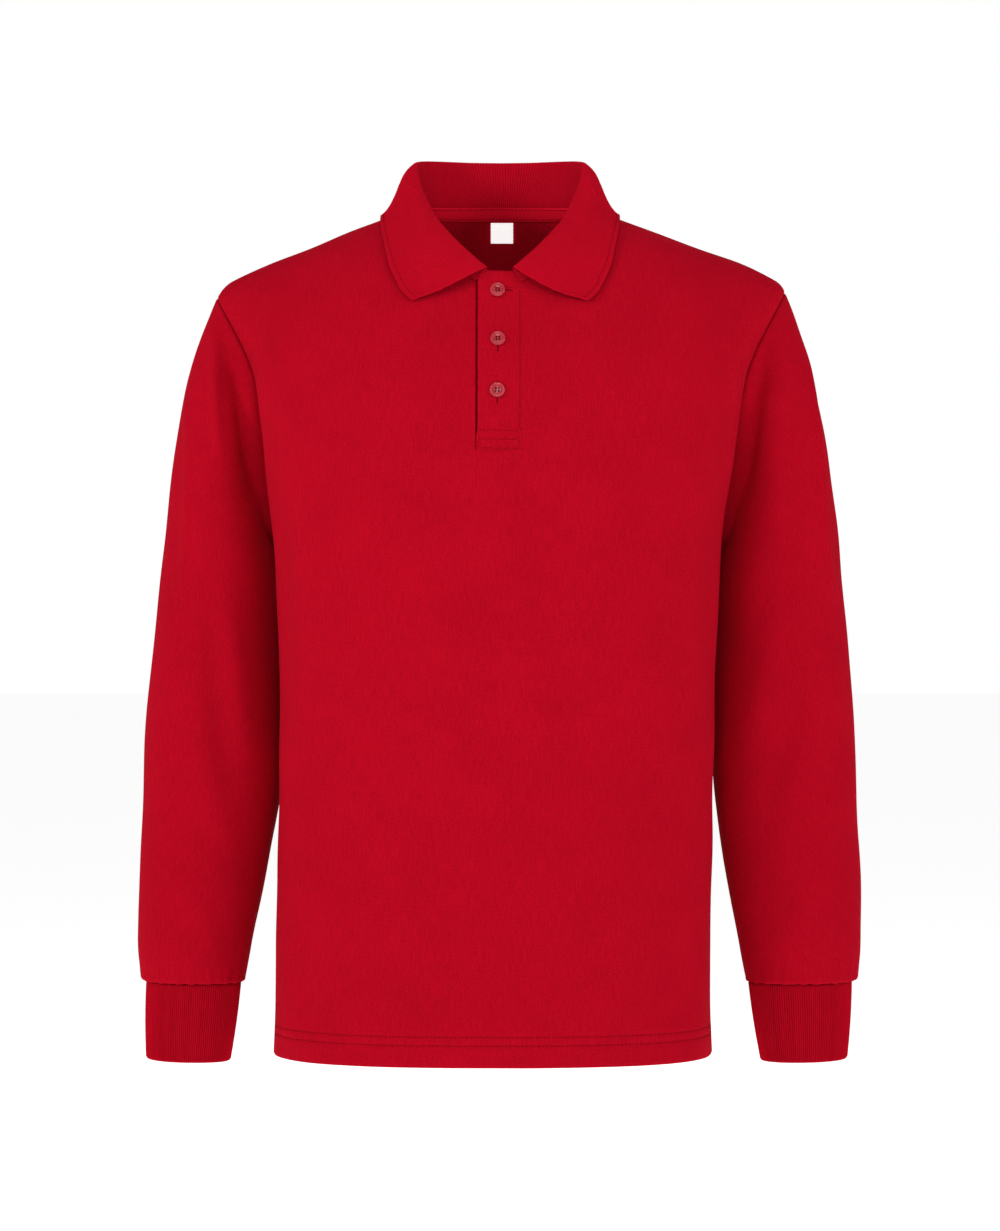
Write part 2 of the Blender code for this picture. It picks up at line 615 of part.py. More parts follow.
def button(name, place, out, material):
    # A turned button with a raised rim and four holes.
    mesh = bpy.data.meshes.new(name)
    profile = [(r * MM, 0.0, z * MM) for r, z in BUTTON_PROFILE]
    mesh.from_pydata(profile, [(k, k + 1) for k in range(len(profile) - 1)], [])
    mesh.materials.append(material)
    thing = bpy.data.objects.new(name, mesh)
    GARMENT.objects.link(thing)
    turn = thing.modifiers.new("turn", "SCREW")
    turn.steps = turn.render_steps = BUTTON_STEPS
    turn.use_merge_vertices, turn.merge_threshold = True, 1e-5
    turn.use_normal_calculate = True
    turn.use_smooth_shade = True
    for k in range(4):
        a = math.radians(45 + 90 * k)
        bm = bmesh.new()
        wide = HOLE_RADIUS * MM
        bmesh.ops.create_cone(
            bm, cap_ends=True, segments=HOLE_SIDES, radius1=wide, radius2=wide, depth=HOLE_DEPTH * MM
        )
        hole = bpy.data.meshes.new(f"{name}_hole_{k + 1}")
        bm.to_mesh(hole)
        bm.free()
        cutter = bpy.data.objects.new(hole.name, hole)
        CUTTERS.objects.link(cutter)
        cutter.hide_render = True
        cutter.display_type = "WIRE"
        spot = Vector((HOLE_SPREAD * math.cos(a), HOLE_SPREAD * math.sin(a), 0)) * MM
        cutter.matrix_world = frame_at(place, out) @ Matrix.Translation(spot)
        cut = thing.modifiers.new(f"hole_{k + 1}", "BOOLEAN")
        cut.operation, cut.solver, cut.object = "DIFFERENCE", "EXACT", cutter
    thing.matrix_world = frame_at(place, out)
    return thing


def frame_at(place, out):
    # A placing whose z axis is the given way out.
    return Matrix.Translation(Vector(place) * MM) @ Vector(out).to_track_quat("Z", "Y").to_matrix().to_4x4()


def material(name):
    made = bpy.data.materials.new(name)
    made.use_nodes = True
    shader = made.node_tree.nodes["Principled BSDF"]
    shader.inputs["Base Color"].default_value = COLOURS[name]
    shader.inputs["Roughness"].default_value = ROUGH[name]
    shader.inputs["Metallic"].default_value = 0.0
    return made


for thing in list(bpy.data.objects):
    bpy.data.objects.remove(thing, do_unlink=True)
GARMENT = bpy.data.collections.new("polo_sweatshirt")
CUTTERS = bpy.data.collections.new("cutters")
for group in (GARMENT, CUTTERS):
    bpy.context.scene.collection.children.link(group)
CLOTHS = {name: material(name) for name in COLOURS}

# Body and sleeve surfaces
front, back = panel(True), panel(False)
UNDER_ROW = LOWER_CELLS + 2  # the row at the underarm
for grid in (front, back):
    facing = normals(grid)
    if facing[len(grid) // 2, 5, 1] * (1 if grid is back else -1) < 0:
        facing = -facing
    push = crease_field(grid, facing[..., 1])
    push[[0, -1], :] = 0
    push[:, -1] = 0
    grid += push[..., None] * facing

sides = {"right": 0, "left": -1}
sleeves = {}
for side, column in sides.items():
    up = front[column, UNDER_ROW:]
    down = back[column, UNDER_ROW:][::-1][1:-1]
    loop = np.vstack([up, down]) * np.array([1.0 if side == "left" else -1.0, 1, 1])
    grid = sleeve(side, loop)
    closed = np.concatenate([grid[-1:], grid, grid[:1]])
    out = normals(closed)[1:-1]
    if out[len(up) - 1, 12, 0] < 0:
        out = -out
    there = grid * np.array([1.0 if side == "left" else -1.0, 1, 1])
    push = crease_field(there, out[..., 1])
    push[:, :2] = 0
    push[:, -4:] = 0
    grid += push[..., None] * out
    sleeves[side] = grid


def faced(grid, way):
    # Normals of a grid that point the way given at its middle.
    out = normals(grid)
    return out if out[len(grid) // 2, grid.shape[1] // 3] @ np.array(way) > 0 else -out


out_front, out_back = faced(front, (0, -1, 0)), faced(back, (0, 1, 0))

# Both panels share one normal along their side seams and shoulder seams.
for column in (0, -1):
    shared = unit(out_front[column, : UNDER_ROW + 1] + out_back[column, : UNDER_ROW + 1])
    out_front[column, : UNDER_ROW + 1] = out_back[column, : UNDER_ROW + 1] = shared
for k in range(SHOULDER_CELLS + 1):
    for i in (k, -1 - k):
        out_front[i, -1] = out_back[i, -1] = unit(out_front[i, -1] + out_back[i, -1])

# A seam's shared way in, and the way across it, so that the rims on its two sides lie parallel.
ways_front, ways_back = out_front.copy(), out_back.copy()
back_off_front, back_off_back = np.zeros_like(front), np.zeros_like(back)
sleeve_parts = {}


def across(line, way, away, closed=False):
    # Square to a seam's line and to its shared way, on the side that the vectors in away point to.
    if closed:
        turn = np.roll(line, -1, axis=0) - np.roll(line, 1, axis=0)
    else:
        turn = np.gradient(line, axis=0)
    cross = unit(np.cross(unit(turn), way))
    return cross * np.where(dot(cross, away) < 0, -1, 1)


UP_ROWS = front.shape[1] - UNDER_ROW
for side, column in sides.items():
    sign = np.array([1.0 if side == "left" else -1.0, 1, 1])
    grid = sleeves[side] * sign
    closed = np.concatenate([grid[-1:], grid, grid[:1]])
    out = normals(closed)[1:-1]
    if (out[UP_ROWS - 1, 12, 0] > 0) != (side == "left"):
        out = -out
    body = np.vstack([out_front[column, UNDER_ROW:], out_back[column, UNDER_ROW:][::-1][1:-1]])
    way = unit(body + out[:, 0])
    way = unit(way + 0.5 * (np.roll(way, 1, axis=0) + np.roll(way, -1, axis=0)))
    off = across(grid[:, 0], way, unit(grid[:, 1] - grid[:, 0]), closed=True)
    ways_front[column, UNDER_ROW:] = way[:UP_ROWS]
    ways_back[column, UNDER_ROW:] = np.vstack([way[UP_ROWS - 1:], way[:1]])[::-1]
    back_off_front[column, UNDER_ROW:] = -off[:UP_ROWS]
    back_off_back[column, UNDER_ROW:] = -np.vstack([off[UP_ROWS - 1:], off[:1]])[::-1]
    sleeve_parts[side] = (grid, out, way, off)

# The same at the neckline. The collar's seam follows the straight stretches between the panels' points.
def ring_of(on_front_panel, on_back_panel):
    # Values along the neckline, from the wearer's right front round the back to the left front.
    first = on_front_panel[SHOULDER_CELLS : SHOULDER_CELLS + NECK_CELLS + 1][::-1]
    behind = on_back_panel[SHOULDER_CELLS : len(back) - SHOULDER_CELLS][1:-1]
    last = on_front_panel[len(front) - SHOULDER_CELLS - NECK_CELLS - 1 : len(front) - SHOULDER_CELLS][::-1]
    return np.vstack([first, behind, last])


def spread_ring(values, on_front_panel, on_back_panel):
    # Puts values along the neckline back on the panels' top rows.
    on_front_panel[SHOULDER_CELLS : SHOULDER_CELLS + NECK_CELLS + 1] = values[: NECK_CELLS + 1][::-1]
    end = len(values) - NECK_CELLS
    on_back_panel[SHOULDER_CELLS : len(back) - SHOULDER_CELLS] = values[NECK_CELLS : end]
    start = len(front) - SHOULDER_CELLS - NECK_CELLS - 1
    on_front_panel[start : len(front) - SHOULDER_CELLS] = values[end - 1 :][::-1]


neck_line = ring_of(front[:, -1], back[:, -1])
neck_out = ring_of(out_front[:, -1], out_back[:, -1])
collar = collar_grid(neck_line)
rise = unit(collar[:, 1] - collar[:, 0])
stand_out = unit(np.cross(unit(np.gradient(collar[:, 0], axis=0)), rise))
stand_out *= np.where((stand_out[:, :2] * collar[:, 0, :2]).sum(1, keepdims=True) < 0, -1, 1)
nearest = np.argmin(np.linalg.norm(neck_line[:, None] - collar[None, :, 0], axis=2), axis=1)
neck_way = unit(neck_out + stand_out[nearest])
neck_off = across(neck_line, neck_way, rise[nearest])
spread_ring(neck_way, ways_front[:, -1], ways_back[:, -1])
spread_ring(-neck_off, back_off_front[:, -1], back_off_back[:, -1])


def finished_panel(grid, out, ways, back_off):
    # Stands each edge back from its seam, then gives the panel its wall and its doubled hem.
    outer = grid.copy()
    outer[0, : UNDER_ROW + 1] += SEAM_SHIFT * unit(grid[1] - grid[0])[: UNDER_ROW + 1]
    outer[-1, : UNDER_ROW + 1] += SEAM_SHIFT * unit(grid[-2] - grid[-1])[: UNDER_ROW + 1]
    for k in range(SHOULDER_CELLS + 1):
        for i in (k, -1 - k):
            outer[i, -1] += SEAM_SHIFT * unit(grid[i, -2] - grid[i, -1])
    outer += SEAM_SHIFT * back_off
    wall = np.full(grid.shape[:2] + (1,), WALL)
    wall[:, :2] = HEM_WALL
    return outer, inward(outer, out, wall, ways)


# The slot is the cells above the placket's foot between its two sides.
keep = np.ones((front.shape[0] - 1, front.shape[1] - 1), bool)
slot_row = UNDER_ROW + UPPER_CELLS[0]
slot_column = SHOULDER_CELLS + NECK_CELLS
keep[slot_column : slot_column + SLOT_CELLS, slot_row:] = False
front_outer, front_inner = finished_panel(front, out_front, ways_front, back_off_front)
back_outer, back_inner = finished_panel(back, out_back, ways_back, back_off_back)
shell("front_panel", front_outer, front_inner, CLOTHS["jersey"], keep)
shell("back_panel", back_outer, back_inner, CLOTHS["jersey"])

for side in sides:
    grid, out, way, off = sleeve_parts[side]
    outer = grid.copy()
    outer[:, 0] += SEAM_SHIFT * off
    ways = out.copy()
    ways[:, 0] = way
    inner = inward(outer, out, WALL, ways)
    # The last ring is cut level, to meet the cuff.
    flat = unit(out[:, -1] * np.array([1, 1, 0]))
    inner[:, -1] = outer[:, -1] - CUFF_WALL * flat
    shell(f"sleeve_{side}", outer, inner, CLOTHS["jersey"], closed=True)
    cuff_outer, cuff_inner = cuff(side)
    if side == "right":
        cuff_outer, cuff_inner = mirrored(cuff_outer), mirrored(cuff_inner)
    shell(f"cuff_{side}", cuff_outer, cuff_inner, CLOTHS["rib"], closed=True)

# Placket
front_tree = tree_of(front)
upper, upper_out = strip(front_tree, UPPER_STRIP, PLACKET_TOP, UPPER_LIFT, UPPER_CORNERS)
shell("placket_upper", upper, upper - STRIP_WALL * upper_out, CLOTHS["jersey"])
share = [(x - UPPER_STRIP[0]) / (UPPER_STRIP[1] - UPPER_STRIP[0]) for x in UNDER_STRIP]
lifts = [UPPER_LIFT[0] + (UPPER_LIFT[1] - UPPER_LIFT[0]) * s - STRIP_WALL - GAP for s in share]
under, under_out = strip(front_tree, UNDER_STRIP, UNDER_TOP, lifts, UNDER_CORNERS)
shell("placket_under", under, under - STRIP_WALL * under_out, CLOTHS["jersey"])

# Collar: its outer face keeps clear of the body and the placket
fall = STAND_CELLS + ROLL_CELLS + 1
collar[:, fall:] = laid(collar[:, fall:], [tree_of(front), tree_of(back)], tree_of(upper))
collar_out = normals(collar)
middle = len(collar) // 2
if collar_out[middle, -1, 1] < 0:
    collar_out = -collar_out
face = collar + COLLAR_WALL * collar_out
spot, index, share = snapped(collar[:, 0], neck_line)
way = between(neck_way, index, share)
depth = COLLAR_WALL / np.maximum(dot(way, stand_out), LEAST_SLANT)
collar[:, 0] = spot + SEAM_SHIFT * between(neck_off, index, share)
face[:, 0] = collar[:, 0] - depth * way
shell("collar", collar, face, CLOTHS["rib"])

# Buttons
upper_tree = tree_of(upper)
for name, x, z in zip(BUTTON_NAMES, *BUTTONS.values()):
    spot, out, _, _ = upper_tree.ray_cast(Vector((x, AHEAD, z)), Vector((0, 1, 0)))
    out = out if out.y < 0 else -out
    button(name, spot + out * GAP, out, CLOTHS["button"])

# Neck tape and label inside the back
inner_tree = tree_of(back_inner)


def inside_back(angle, height, off):
    # A point just inside the back at this angle from straight back, and its way in.
    way = Vector((math.sin(angle), math.cos(angle), 0))
    spot, out, _, _ = inner_tree.ray_cast(Vector((0, 0, height)), way)
    inn = out if out.dot(way) < 0 else -out
    return np.array(spot + inn * off), np.array(inn)


tape = np.zeros((TAPE_CELLS + 1, 3, 3))
tape_in = tape.copy()
for i, a in enumerate(np.linspace(-TAPE_HALF_ANGLE, TAPE_HALF_ANGLE, TAPE_CELLS + 1)):
    top = float(neckline(a - math.pi / 2)[2]) - TAPE_BELOW
    for j, z in enumerate(np.linspace(top, top - TAPE_HIGH, 3)):
        tape[i, j], tape_in[i, j] = inside_back(a, z, TAPE_OFF)
shell("neck_tape", tape, tape + TAPE_WALL * tape_in, CLOTHS["tape"])

label = np.zeros(LABEL_POINTS + (3,))
label_in = label.copy()
for i, x in enumerate(np.linspace(LABEL[0], LABEL[1], LABEL_POINTS[0])):
    for j, t in enumerate(np.linspace(0, 1, LABEL_POINTS[1])):
        height, off = LABEL[2] + (LABEL[3] - LABEL[2]) * t, LABEL_OFF[0] + LABEL_OFF[1] * t
        label[i, j], label_in[i, j] = inside_back(math.atan2(x, NECK_BACK), height, off)
shell("neck_label", label, label + LABEL_WALL * label_in, CLOTHS["label"])
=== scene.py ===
import math

import bpy
import numpy as np
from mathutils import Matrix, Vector


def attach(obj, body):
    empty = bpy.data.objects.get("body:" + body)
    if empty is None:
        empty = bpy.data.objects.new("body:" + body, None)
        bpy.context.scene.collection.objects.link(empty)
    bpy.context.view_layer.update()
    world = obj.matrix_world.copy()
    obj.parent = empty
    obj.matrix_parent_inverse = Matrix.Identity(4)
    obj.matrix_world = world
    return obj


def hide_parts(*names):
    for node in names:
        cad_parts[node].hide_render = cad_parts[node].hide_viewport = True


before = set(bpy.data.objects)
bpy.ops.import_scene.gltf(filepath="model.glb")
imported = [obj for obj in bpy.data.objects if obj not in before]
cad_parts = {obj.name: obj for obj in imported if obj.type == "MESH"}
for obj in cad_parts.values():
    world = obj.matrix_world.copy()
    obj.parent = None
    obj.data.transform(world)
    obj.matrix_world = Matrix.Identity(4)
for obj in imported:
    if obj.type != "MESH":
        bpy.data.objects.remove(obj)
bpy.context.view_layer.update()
mm = 0.001
print("frame loaded:", len(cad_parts), "nodes")

# ---- camera, light and floor
shot = {
    "away": 3.0, "height": -0.349, "lens": 102.98, "sensor": 36.0, "farEnd": 60.0,
    "worldSeen": 1.0, "worldLight": 0.12, "white": (1, 1, 1, 1), "warmWhite": (1, 0.99, 0.98, 1),
    "floor": -1.08, "floorWide": 60.0, "floorGlow": 0.85, "floorColour": (0.93, 0.93, 0.93, 1),
}
lamps = {  # place, aim, width in metres, watts
    "leftLamp": ((-2.7, -1.6, 0.9), (0.0, 0.0, -0.22), 0.9, 38.0),
    "rightLamp": ((2.7, -1.6, 0.8), (0.0, 0.0, -0.22), 0.9, 27.0),
    "frontLamp": ((-0.1, -2.0, 1.0), (0.0, 0.0, 0.0), 0.7, 11.0),
    "topLamp": ((0.0, -0.6, 2.3), (0.0, 0.0, 0.0), 1.8, 16.0),
    "backLamp": ((0.3, 2.9, 0.9), (0.0, 0.0, -0.4), 1.8, 20.0),
}


def makeCamera():
    data = bpy.data.cameras.new("camera")
    data.sensor_width, data.lens = shot["sensor"], shot["lens"]
    data.clip_end = shot["farEnd"]
    thing = bpy.data.objects.new("camera", data)
    thing.location = (0, -shot["away"], shot["height"])
    thing.rotation_euler = (math.pi / 2, 0, 0)
    bpy.context.scene.collection.objects.link(thing)
    bpy.context.scene.camera = thing


def makeLamps():
    for name, (place, aim, wide, watts) in lamps.items():
        data = bpy.data.lights.new(name, "AREA")
        data.size, data.energy = wide, watts
        thing = bpy.data.objects.new(name, data)
        thing.location = place
        toAim = Vector(aim) - Vector(place)
        thing.rotation_euler = toAim.to_track_quat("-Z", "Y").to_euler()
        bpy.context.scene.collection.objects.link(thing)


def makeWorld():
    # White where it is seen, and weaker than that as light.
    world = bpy.data.worlds.new("studio")
    bpy.context.scene.world = world
    world.use_nodes = True
    nodes, links = world.node_tree.nodes, world.node_tree.links
    seen, lit = nodes["Background"], nodes.new("ShaderNodeBackground")
    for node, colour, strength in ((seen, "white", "worldSeen"), (lit, "warmWhite", "worldLight")):
        node.inputs[0].default_value, node.inputs[1].default_value = shot[colour], shot[strength]
    path, mix = nodes.new("ShaderNodeLightPath"), nodes.new("ShaderNodeMixShader")
    links.new(path.outputs["Is Camera Ray"], mix.inputs[0])
    links.new(lit.outputs[0], mix.inputs[1])
    links.new(seen.outputs[0], mix.inputs[2])
    links.new(mix.outputs[0], nodes["World Output"].inputs[0])


makeCamera()
makeLamps()
makeWorld()
bpy.context.scene.view_settings.view_transform = "Standard"
print("camera and light")


# ---- looks
def startLook(name, colour, rough, specular=0.015):
    look = bpy.data.materials.new(name)
    look.use_nodes = True
    look.diffuse_color = colour
    shader = look.node_tree.nodes["Principled BSDF"]
    shader.inputs["Base Color"].default_value = colour
    shader.inputs["Roughness"].default_value = rough
    shader.inputs["Specular IOR Level"].default_value = specular
    return look, look.node_tree, shader


def sumNode(tree, kind, first, second=None, third=None):
    # One Math node, whose inputs are sockets or numbers.
    node = tree.nodes.new("ShaderNodeMath")
    node.operation = kind
    for k, value in enumerate((first, second, third)):
        if value is None:
            continue
        if isinstance(value, (int, float)):
            node.inputs[k].default_value = value
        else:
            tree.links.new(value, node.inputs[k])
    return node.outputs[0]


def noiseNode(tree, place, scale, detail=3.0, rough=0.55):
    node = tree.nodes.new("ShaderNodeTexNoise")
    node.inputs["Scale"].default_value = scale
    node.inputs["Detail"].default_value = detail
    node.inputs["Roughness"].default_value = rough
    tree.links.new(place, node.inputs["Vector"])
    return node.outputs["Fac"]


def objectPlace(tree):
    return tree.nodes.new("ShaderNodeTexCoord").outputs["Object"]


def clothPlace(tree):
    # The piece's own map in millimetres: the place as one socket, and its two numbers.
    uv = tree.nodes.new("ShaderNodeUVMap")
    uv.uv_map = "cloth"
    split = tree.nodes.new("ShaderNodeSeparateXYZ")
    tree.links.new(uv.outputs[0], split.inputs[0])
    return uv.outputs[0], split.outputs[0], split.outputs[1]


def rampNode(tree, value, dark, light, stops=(0.0, 1.0)):
    # The colour goes from dark to light while the value goes from one stop to the other.
    ramp = tree.nodes.new("ShaderNodeValToRGB")
    for element, stop, colour in zip(ramp.color_ramp.elements, stops, (dark, light)):
        element.position, element.color = stop, colour
    tree.links.new(value, ramp.inputs[0])
    return ramp.outputs[0]


def bumpNode(tree, shader, height, strength, distance):
    bump = tree.nodes.new("ShaderNodeBump")
    bump.inputs["Strength"].default_value = strength
    bump.inputs["Distance"].default_value = distance
    tree.links.new(height, bump.inputs["Height"])
    tree.links.new(bump.outputs[0], shader.inputs["Normal"])


def knitLook(name, values):
    # Knitted cloth in columns of V-shaped loops: the height is a sine of the course, shifted by the slant
    # inside each column, less a power of the distance from the column's middle, and a fine noise on top.
    look, tree, shader = startLook(name, values["colour"], values["rough"])
    uv, across, along = clothPlace(tree)
    wander = noiseNode(tree, uv, values["wander"], 2.0)
    across = sumNode(tree, "DIVIDE", across, values["wale"])
    along = sumNode(tree, "DIVIDE", along, values["course"])
    along = sumNode(tree, "MULTIPLY_ADD", wander, values["wanderFar"], along)
    column = sumNode(tree, "FRACT", across)
    leg = sumNode(tree, "ABSOLUTE", sumNode(tree, "MULTIPLY_ADD", column, 2.0, -1.0))
    turn = sumNode(tree, "MULTIPLY_ADD", leg, values["slant"], along)
    loop = sumNode(tree, "SINE", sumNode(tree, "MULTIPLY", turn, 2 * math.pi))
    gap = sumNode(tree, "POWER", leg, 4.0)
    height = sumNode(tree, "MULTIPLY_ADD", loop, values["loopHigh"], sumNode(tree, "SUBTRACT", 1.0, gap))
    fuzz = noiseNode(tree, uv, values["fuzz"], 4.0, 0.7)
    height = sumNode(tree, "MULTIPLY_ADD", fuzz, values["fuzzHigh"], height)
    bumpNode(tree, shader, height, values["bump"], values["bumpHigh"])
    # The colour mixes the yarn's grain, faint streaks along the columns and broad mottling of the dye.
    # Painted shade darkens it between the columns, and the mesh's shade attribute paints shade near seams and edges.
    stretch = tree.nodes.new("ShaderNodeVectorMath")
    stretch.operation = "MULTIPLY"
    stretch.inputs[1].default_value = values["streak"]
    tree.links.new(uv, stretch.inputs[0])
    streak = noiseNode(tree, stretch.outputs[0], 1.0, 2.0, 0.6)
    broad = noiseNode(tree, objectPlace(tree), values["mottle"], 3.0, 0.5)
    grain = noiseNode(tree, uv, values["grain"], 4.0, 0.7)
    shade = sumNode(tree, "MULTIPLY", grain, values["grainShare"])
    shade = sumNode(tree, "MULTIPLY_ADD", broad, values["broadShare"], shade)
    shade = sumNode(tree, "MULTIPLY_ADD", streak, 1 - values["broadShare"] - values["grainShare"], shade)
    # painted shade: the mesh's shade attribute darkens the colour near seams, edges and stitch rows
    paintedShadeAttribute = tree.nodes.new("ShaderNodeAttribute")
    paintedShadeAttribute.attribute_name = "shade"
    # painted shade: darker between the knit columns and ribs, where the grooves lie in shade
    deep = sumNode(tree, "MULTIPLY_ADD", gap, -values["paintedGrooveShade"], 1.0)
    level = tree.nodes.new("ShaderNodeHueSaturation")
    tree.links.new(sumNode(tree, "MULTIPLY", deep, paintedShadeAttribute.outputs["Fac"]), level.inputs["Value"])
    tree.links.new(rampNode(tree, shade, values["dark"], values["light"], values["stops"]), level.inputs["Color"])
    tree.links.new(level.outputs[0], shader.inputs["Base Color"])
    rough = sumNode(tree, "MULTIPLY_ADD", grain, values["roughPlay"], values["rough"] - values["roughPlay"] / 2)
    tree.links.new(rough, shader.inputs["Roughness"])
    shader.inputs["Sheen Weight"].default_value = values["sheen"]
    shader.inputs["Sheen Roughness"].default_value = values["sheenRough"]
    shader.inputs["Sheen Tint"].default_value = values["sheenTint"]
    return look


jerseyValues = {  # wale, course and streak are in millimetres of cloth
    "colour": (0.43, 0.0021, 0.0125, 1), "dark": (0.335, 0.0015, 0.0094, 1), "light": (0.54, 0.0028, 0.0165, 1),
    "stops": (0.36, 0.66), "rough": 0.9, "roughPlay": 0.12, "wale": 0.95, "course": 0.72, "slant": 0.55,
    "wander": 0.35, "wanderFar": 1.4, "loopHigh": 0.3, "fuzz": 1.6, "fuzzHigh": 0.8, "bump": 0.4,
    "bumpHigh": 0.00025, "mottle": 22.0, "broadShare": 0.12, "grain": 0.60, "grainShare": 0.60,
    "streak": (0.85, 0.07, 1.0), "paintedGrooveShade": 0.12, "sheen": 0.14, "sheenRough": 0.45,
    "sheenTint": (1.0, 0.03, 0.07, 1),
}
ribValues = dict(
    jerseyValues, colour=(0.52, 0.0027, 0.0155, 1), dark=(0.46, 0.0022, 0.0132, 1),
    light=(0.60, 0.0032, 0.0185, 1), wale=1.5, course=0.60, bump=0.5, paintedGrooveShade=0.62,
)
cuffValues = dict(
    jerseyValues, colour=(0.44, 0.0021, 0.0125, 1), dark=(0.39, 0.0018, 0.0105, 1),
    light=(0.51, 0.0026, 0.0150, 1), wale=1.8, course=0.70, bump=0.5, paintedGrooveShade=0.5,
)
jersey = knitLook("jersey_cloth", jerseyValues)
ribKnit = knitLook("collar_rib", ribValues)
cuffKnit = knitLook("cuff_rib", cuffValues)


def wovenLook(name, values):
    # Woven cloth: a wave slanted over the map, for twill or satin, and a weaker one for the weft.
    dark, light, pitch = values["dark"], values["light"], values["pitch"]
    look, tree, shader = startLook(name, light, values["rough"], 0.04)
    uv, across, along = clothPlace(tree)
    phase = sumNode(tree, "MULTIPLY_ADD", along, values["slant"], across)
    ridge = sumNode(tree, "SINE", sumNode(tree, "MULTIPLY", phase, 2 * math.pi / pitch))
    weft = sumNode(tree, "SINE", sumNode(tree, "MULTIPLY", along, 2 * math.pi / (pitch * 0.8)))
    height = sumNode(tree, "MULTIPLY_ADD", weft, 0.3, ridge)
    fuzz = noiseNode(tree, uv, 1.2, 3.0)
    bumpNode(tree, shader, sumNode(tree, "MULTIPLY_ADD", fuzz, 0.5, height), 0.35, 0.00015)
    shade = sumNode(tree, "MULTIPLY_ADD", height, 0.12, fuzz)
    tree.links.new(rampNode(tree, shade, dark, light, (0.2, 0.7)), shader.inputs["Base Color"])
    # painted light: the cloth glows in its own light colour; only the label is given a glow
    shader.inputs["Emission Color"].default_value = light
    shader.inputs["Emission Strength"].default_value = values["paintedGlow"]
    return look


tapeWeave = wovenLook("neck_tape_twill", {
    "dark": (0.56, 0.0028, 0.0160, 1), "light": (0.80, 0.0046, 0.0260, 1), "pitch": 0.9, "slant": 0.8,
    "rough": 0.85, "paintedGlow": 0.0,
})
# the label glows, painted light
satin = wovenLook("label_satin", {
    "dark": (0.86, 0.86, 0.85, 1), "light": (0.95, 0.95, 0.94, 1), "pitch": 0.35, "slant": 0.0,
    "rough": 0.5, "paintedGlow": 0.72,
})


def grainLook(name, values):
    # A noise on the object's own axes, coloured from dark to light.
    look, tree, shader = startLook(name, values["colour"], values["rough"], values["specular"])
    grain = noiseNode(tree, objectPlace(tree), *values["noise"])
    colour = rampNode(tree, grain, values["dark"], values["light"], values["stops"])
    tree.links.new(colour, shader.inputs["Base Color"])
    return look, tree, shader


def threadLook():
    # Sewing thread, whose grain stands for its fine turns.
    look, tree, shader = grainLook("sewing_thread", {
        "colour": (0.20, 0.0012, 0.005, 1), "dark": (0.13, 0.0008, 0.003, 1), "light": (0.27, 0.0018, 0.008, 1),
        "stops": (0.0, 1.0), "rough": 0.7, "specular": 0.03, "noise": (1800.0, 2.0),
    })
    shader.inputs["Sheen Weight"].default_value = 0.1
    shader.inputs["Sheen Tint"].default_value = (1, 0.05, 0.1, 1)
    return look


def buttonLook():
    # Polished, slightly clear red plastic: clouds inside, a clear coat, and light let in under the skin.
    look, tree, shader = grainLook("button_resin", {
        "colour": (0.50, 0.016, 0.032, 1), "dark": (0.36, 0.020, 0.032, 1), "light": (0.48, 0.036, 0.052, 1),
        "stops": (0.3, 0.72), "rough": 0.16, "specular": 0.18, "noise": (160.0, 2.0, 0.5),
    })
    wear = noiseNode(tree, objectPlace(tree), 500.0, 2.0, 0.5)
    tree.links.new(sumNode(tree, "MULTIPLY_ADD", wear, 0.06, 0.2), shader.inputs["Roughness"])
    shader.inputs["Subsurface Weight"].default_value = 0.25
    shader.inputs["Subsurface Radius"].default_value = (1.0, 0.2, 0.2)
    shader.inputs["Subsurface Scale"].default_value = 0.0012
    shader.inputs["Coat Weight"].default_value = 0.2
    shader.inputs["Coat Roughness"].default_value = 0.08
    return look


thread = threadLook()
resin = buttonLook()
slit = grainLook("painted_shade_dark", {  # painted shade: near-black, for slits and holes that show only shade
    "colour": (0.05, 0.001, 0.003, 1), "dark": (0.02, 0.0005, 0.001, 1), "light": (0.14, 0.002, 0.006, 1),
    "stops": (0.0, 1.0), "rough": 0.95, "specular": 0.05, "noise": (1500.0, 3.0),
})[0]
print("looks")


# ---- helpers for arrays of points, in millimetres
mirror = np.array([-1.0, 1, 1])
sharpAngle = 55


def table(names, *rows):
    # The columns of a table of sizes, by name.
    return dict(zip(names.split(), np.array(rows, float).T))


def unit(v):
    return v / np.maximum(np.linalg.norm(v, axis=-1, keepdims=True), 1e-12)


def dot(a, b):
    return (a * b).sum(-1, keepdims=True)


def bell(far, wide):
    # 1 at no distance, and next to nothing from two widths away.
    return np.exp(-((far / wide) ** 2))


def rising(x):
    # From 0 to 1 about x = 0, as 1 / (1 + e^-x).
    return 1 / (1 + np.exp(-np.clip(x, -60, 60)))


def cubic(t, p0, p1, d0, d1):
    # The cubic from p0 to p1 that leaves along d0 and arrives along d1, as t goes from 0 to 1.
    return (
        (2 * t**3 - 3 * t**2 + 1) * p0 + (t**3 - 2 * t**2 + t) * d0
        + (3 * t**2 - 2 * t**3) * p1 + (t**3 - t**2) * d1
    )


def smooth(at, x, y):
    # A cubic curve through the points (x, y): on each stretch the cubic with the neighbours' mean slopes.
    x, y = np.asarray(x, float), np.asarray(y, float)
    slope = np.gradient(y, x, axis=0)
    at = np.clip(np.asarray(at, float), x[0], x[-1])
    i = np.clip(np.searchsorted(x, at) - 1, 0, len(x) - 2)
    step = x[i + 1] - x[i]
    t = (at - x[i]) / step
    if y.ndim > 1:
        t, step = t[..., None], step[..., None]
    return cubic(t, y[i], y[i + 1], step * slope[i], step * slope[i + 1])


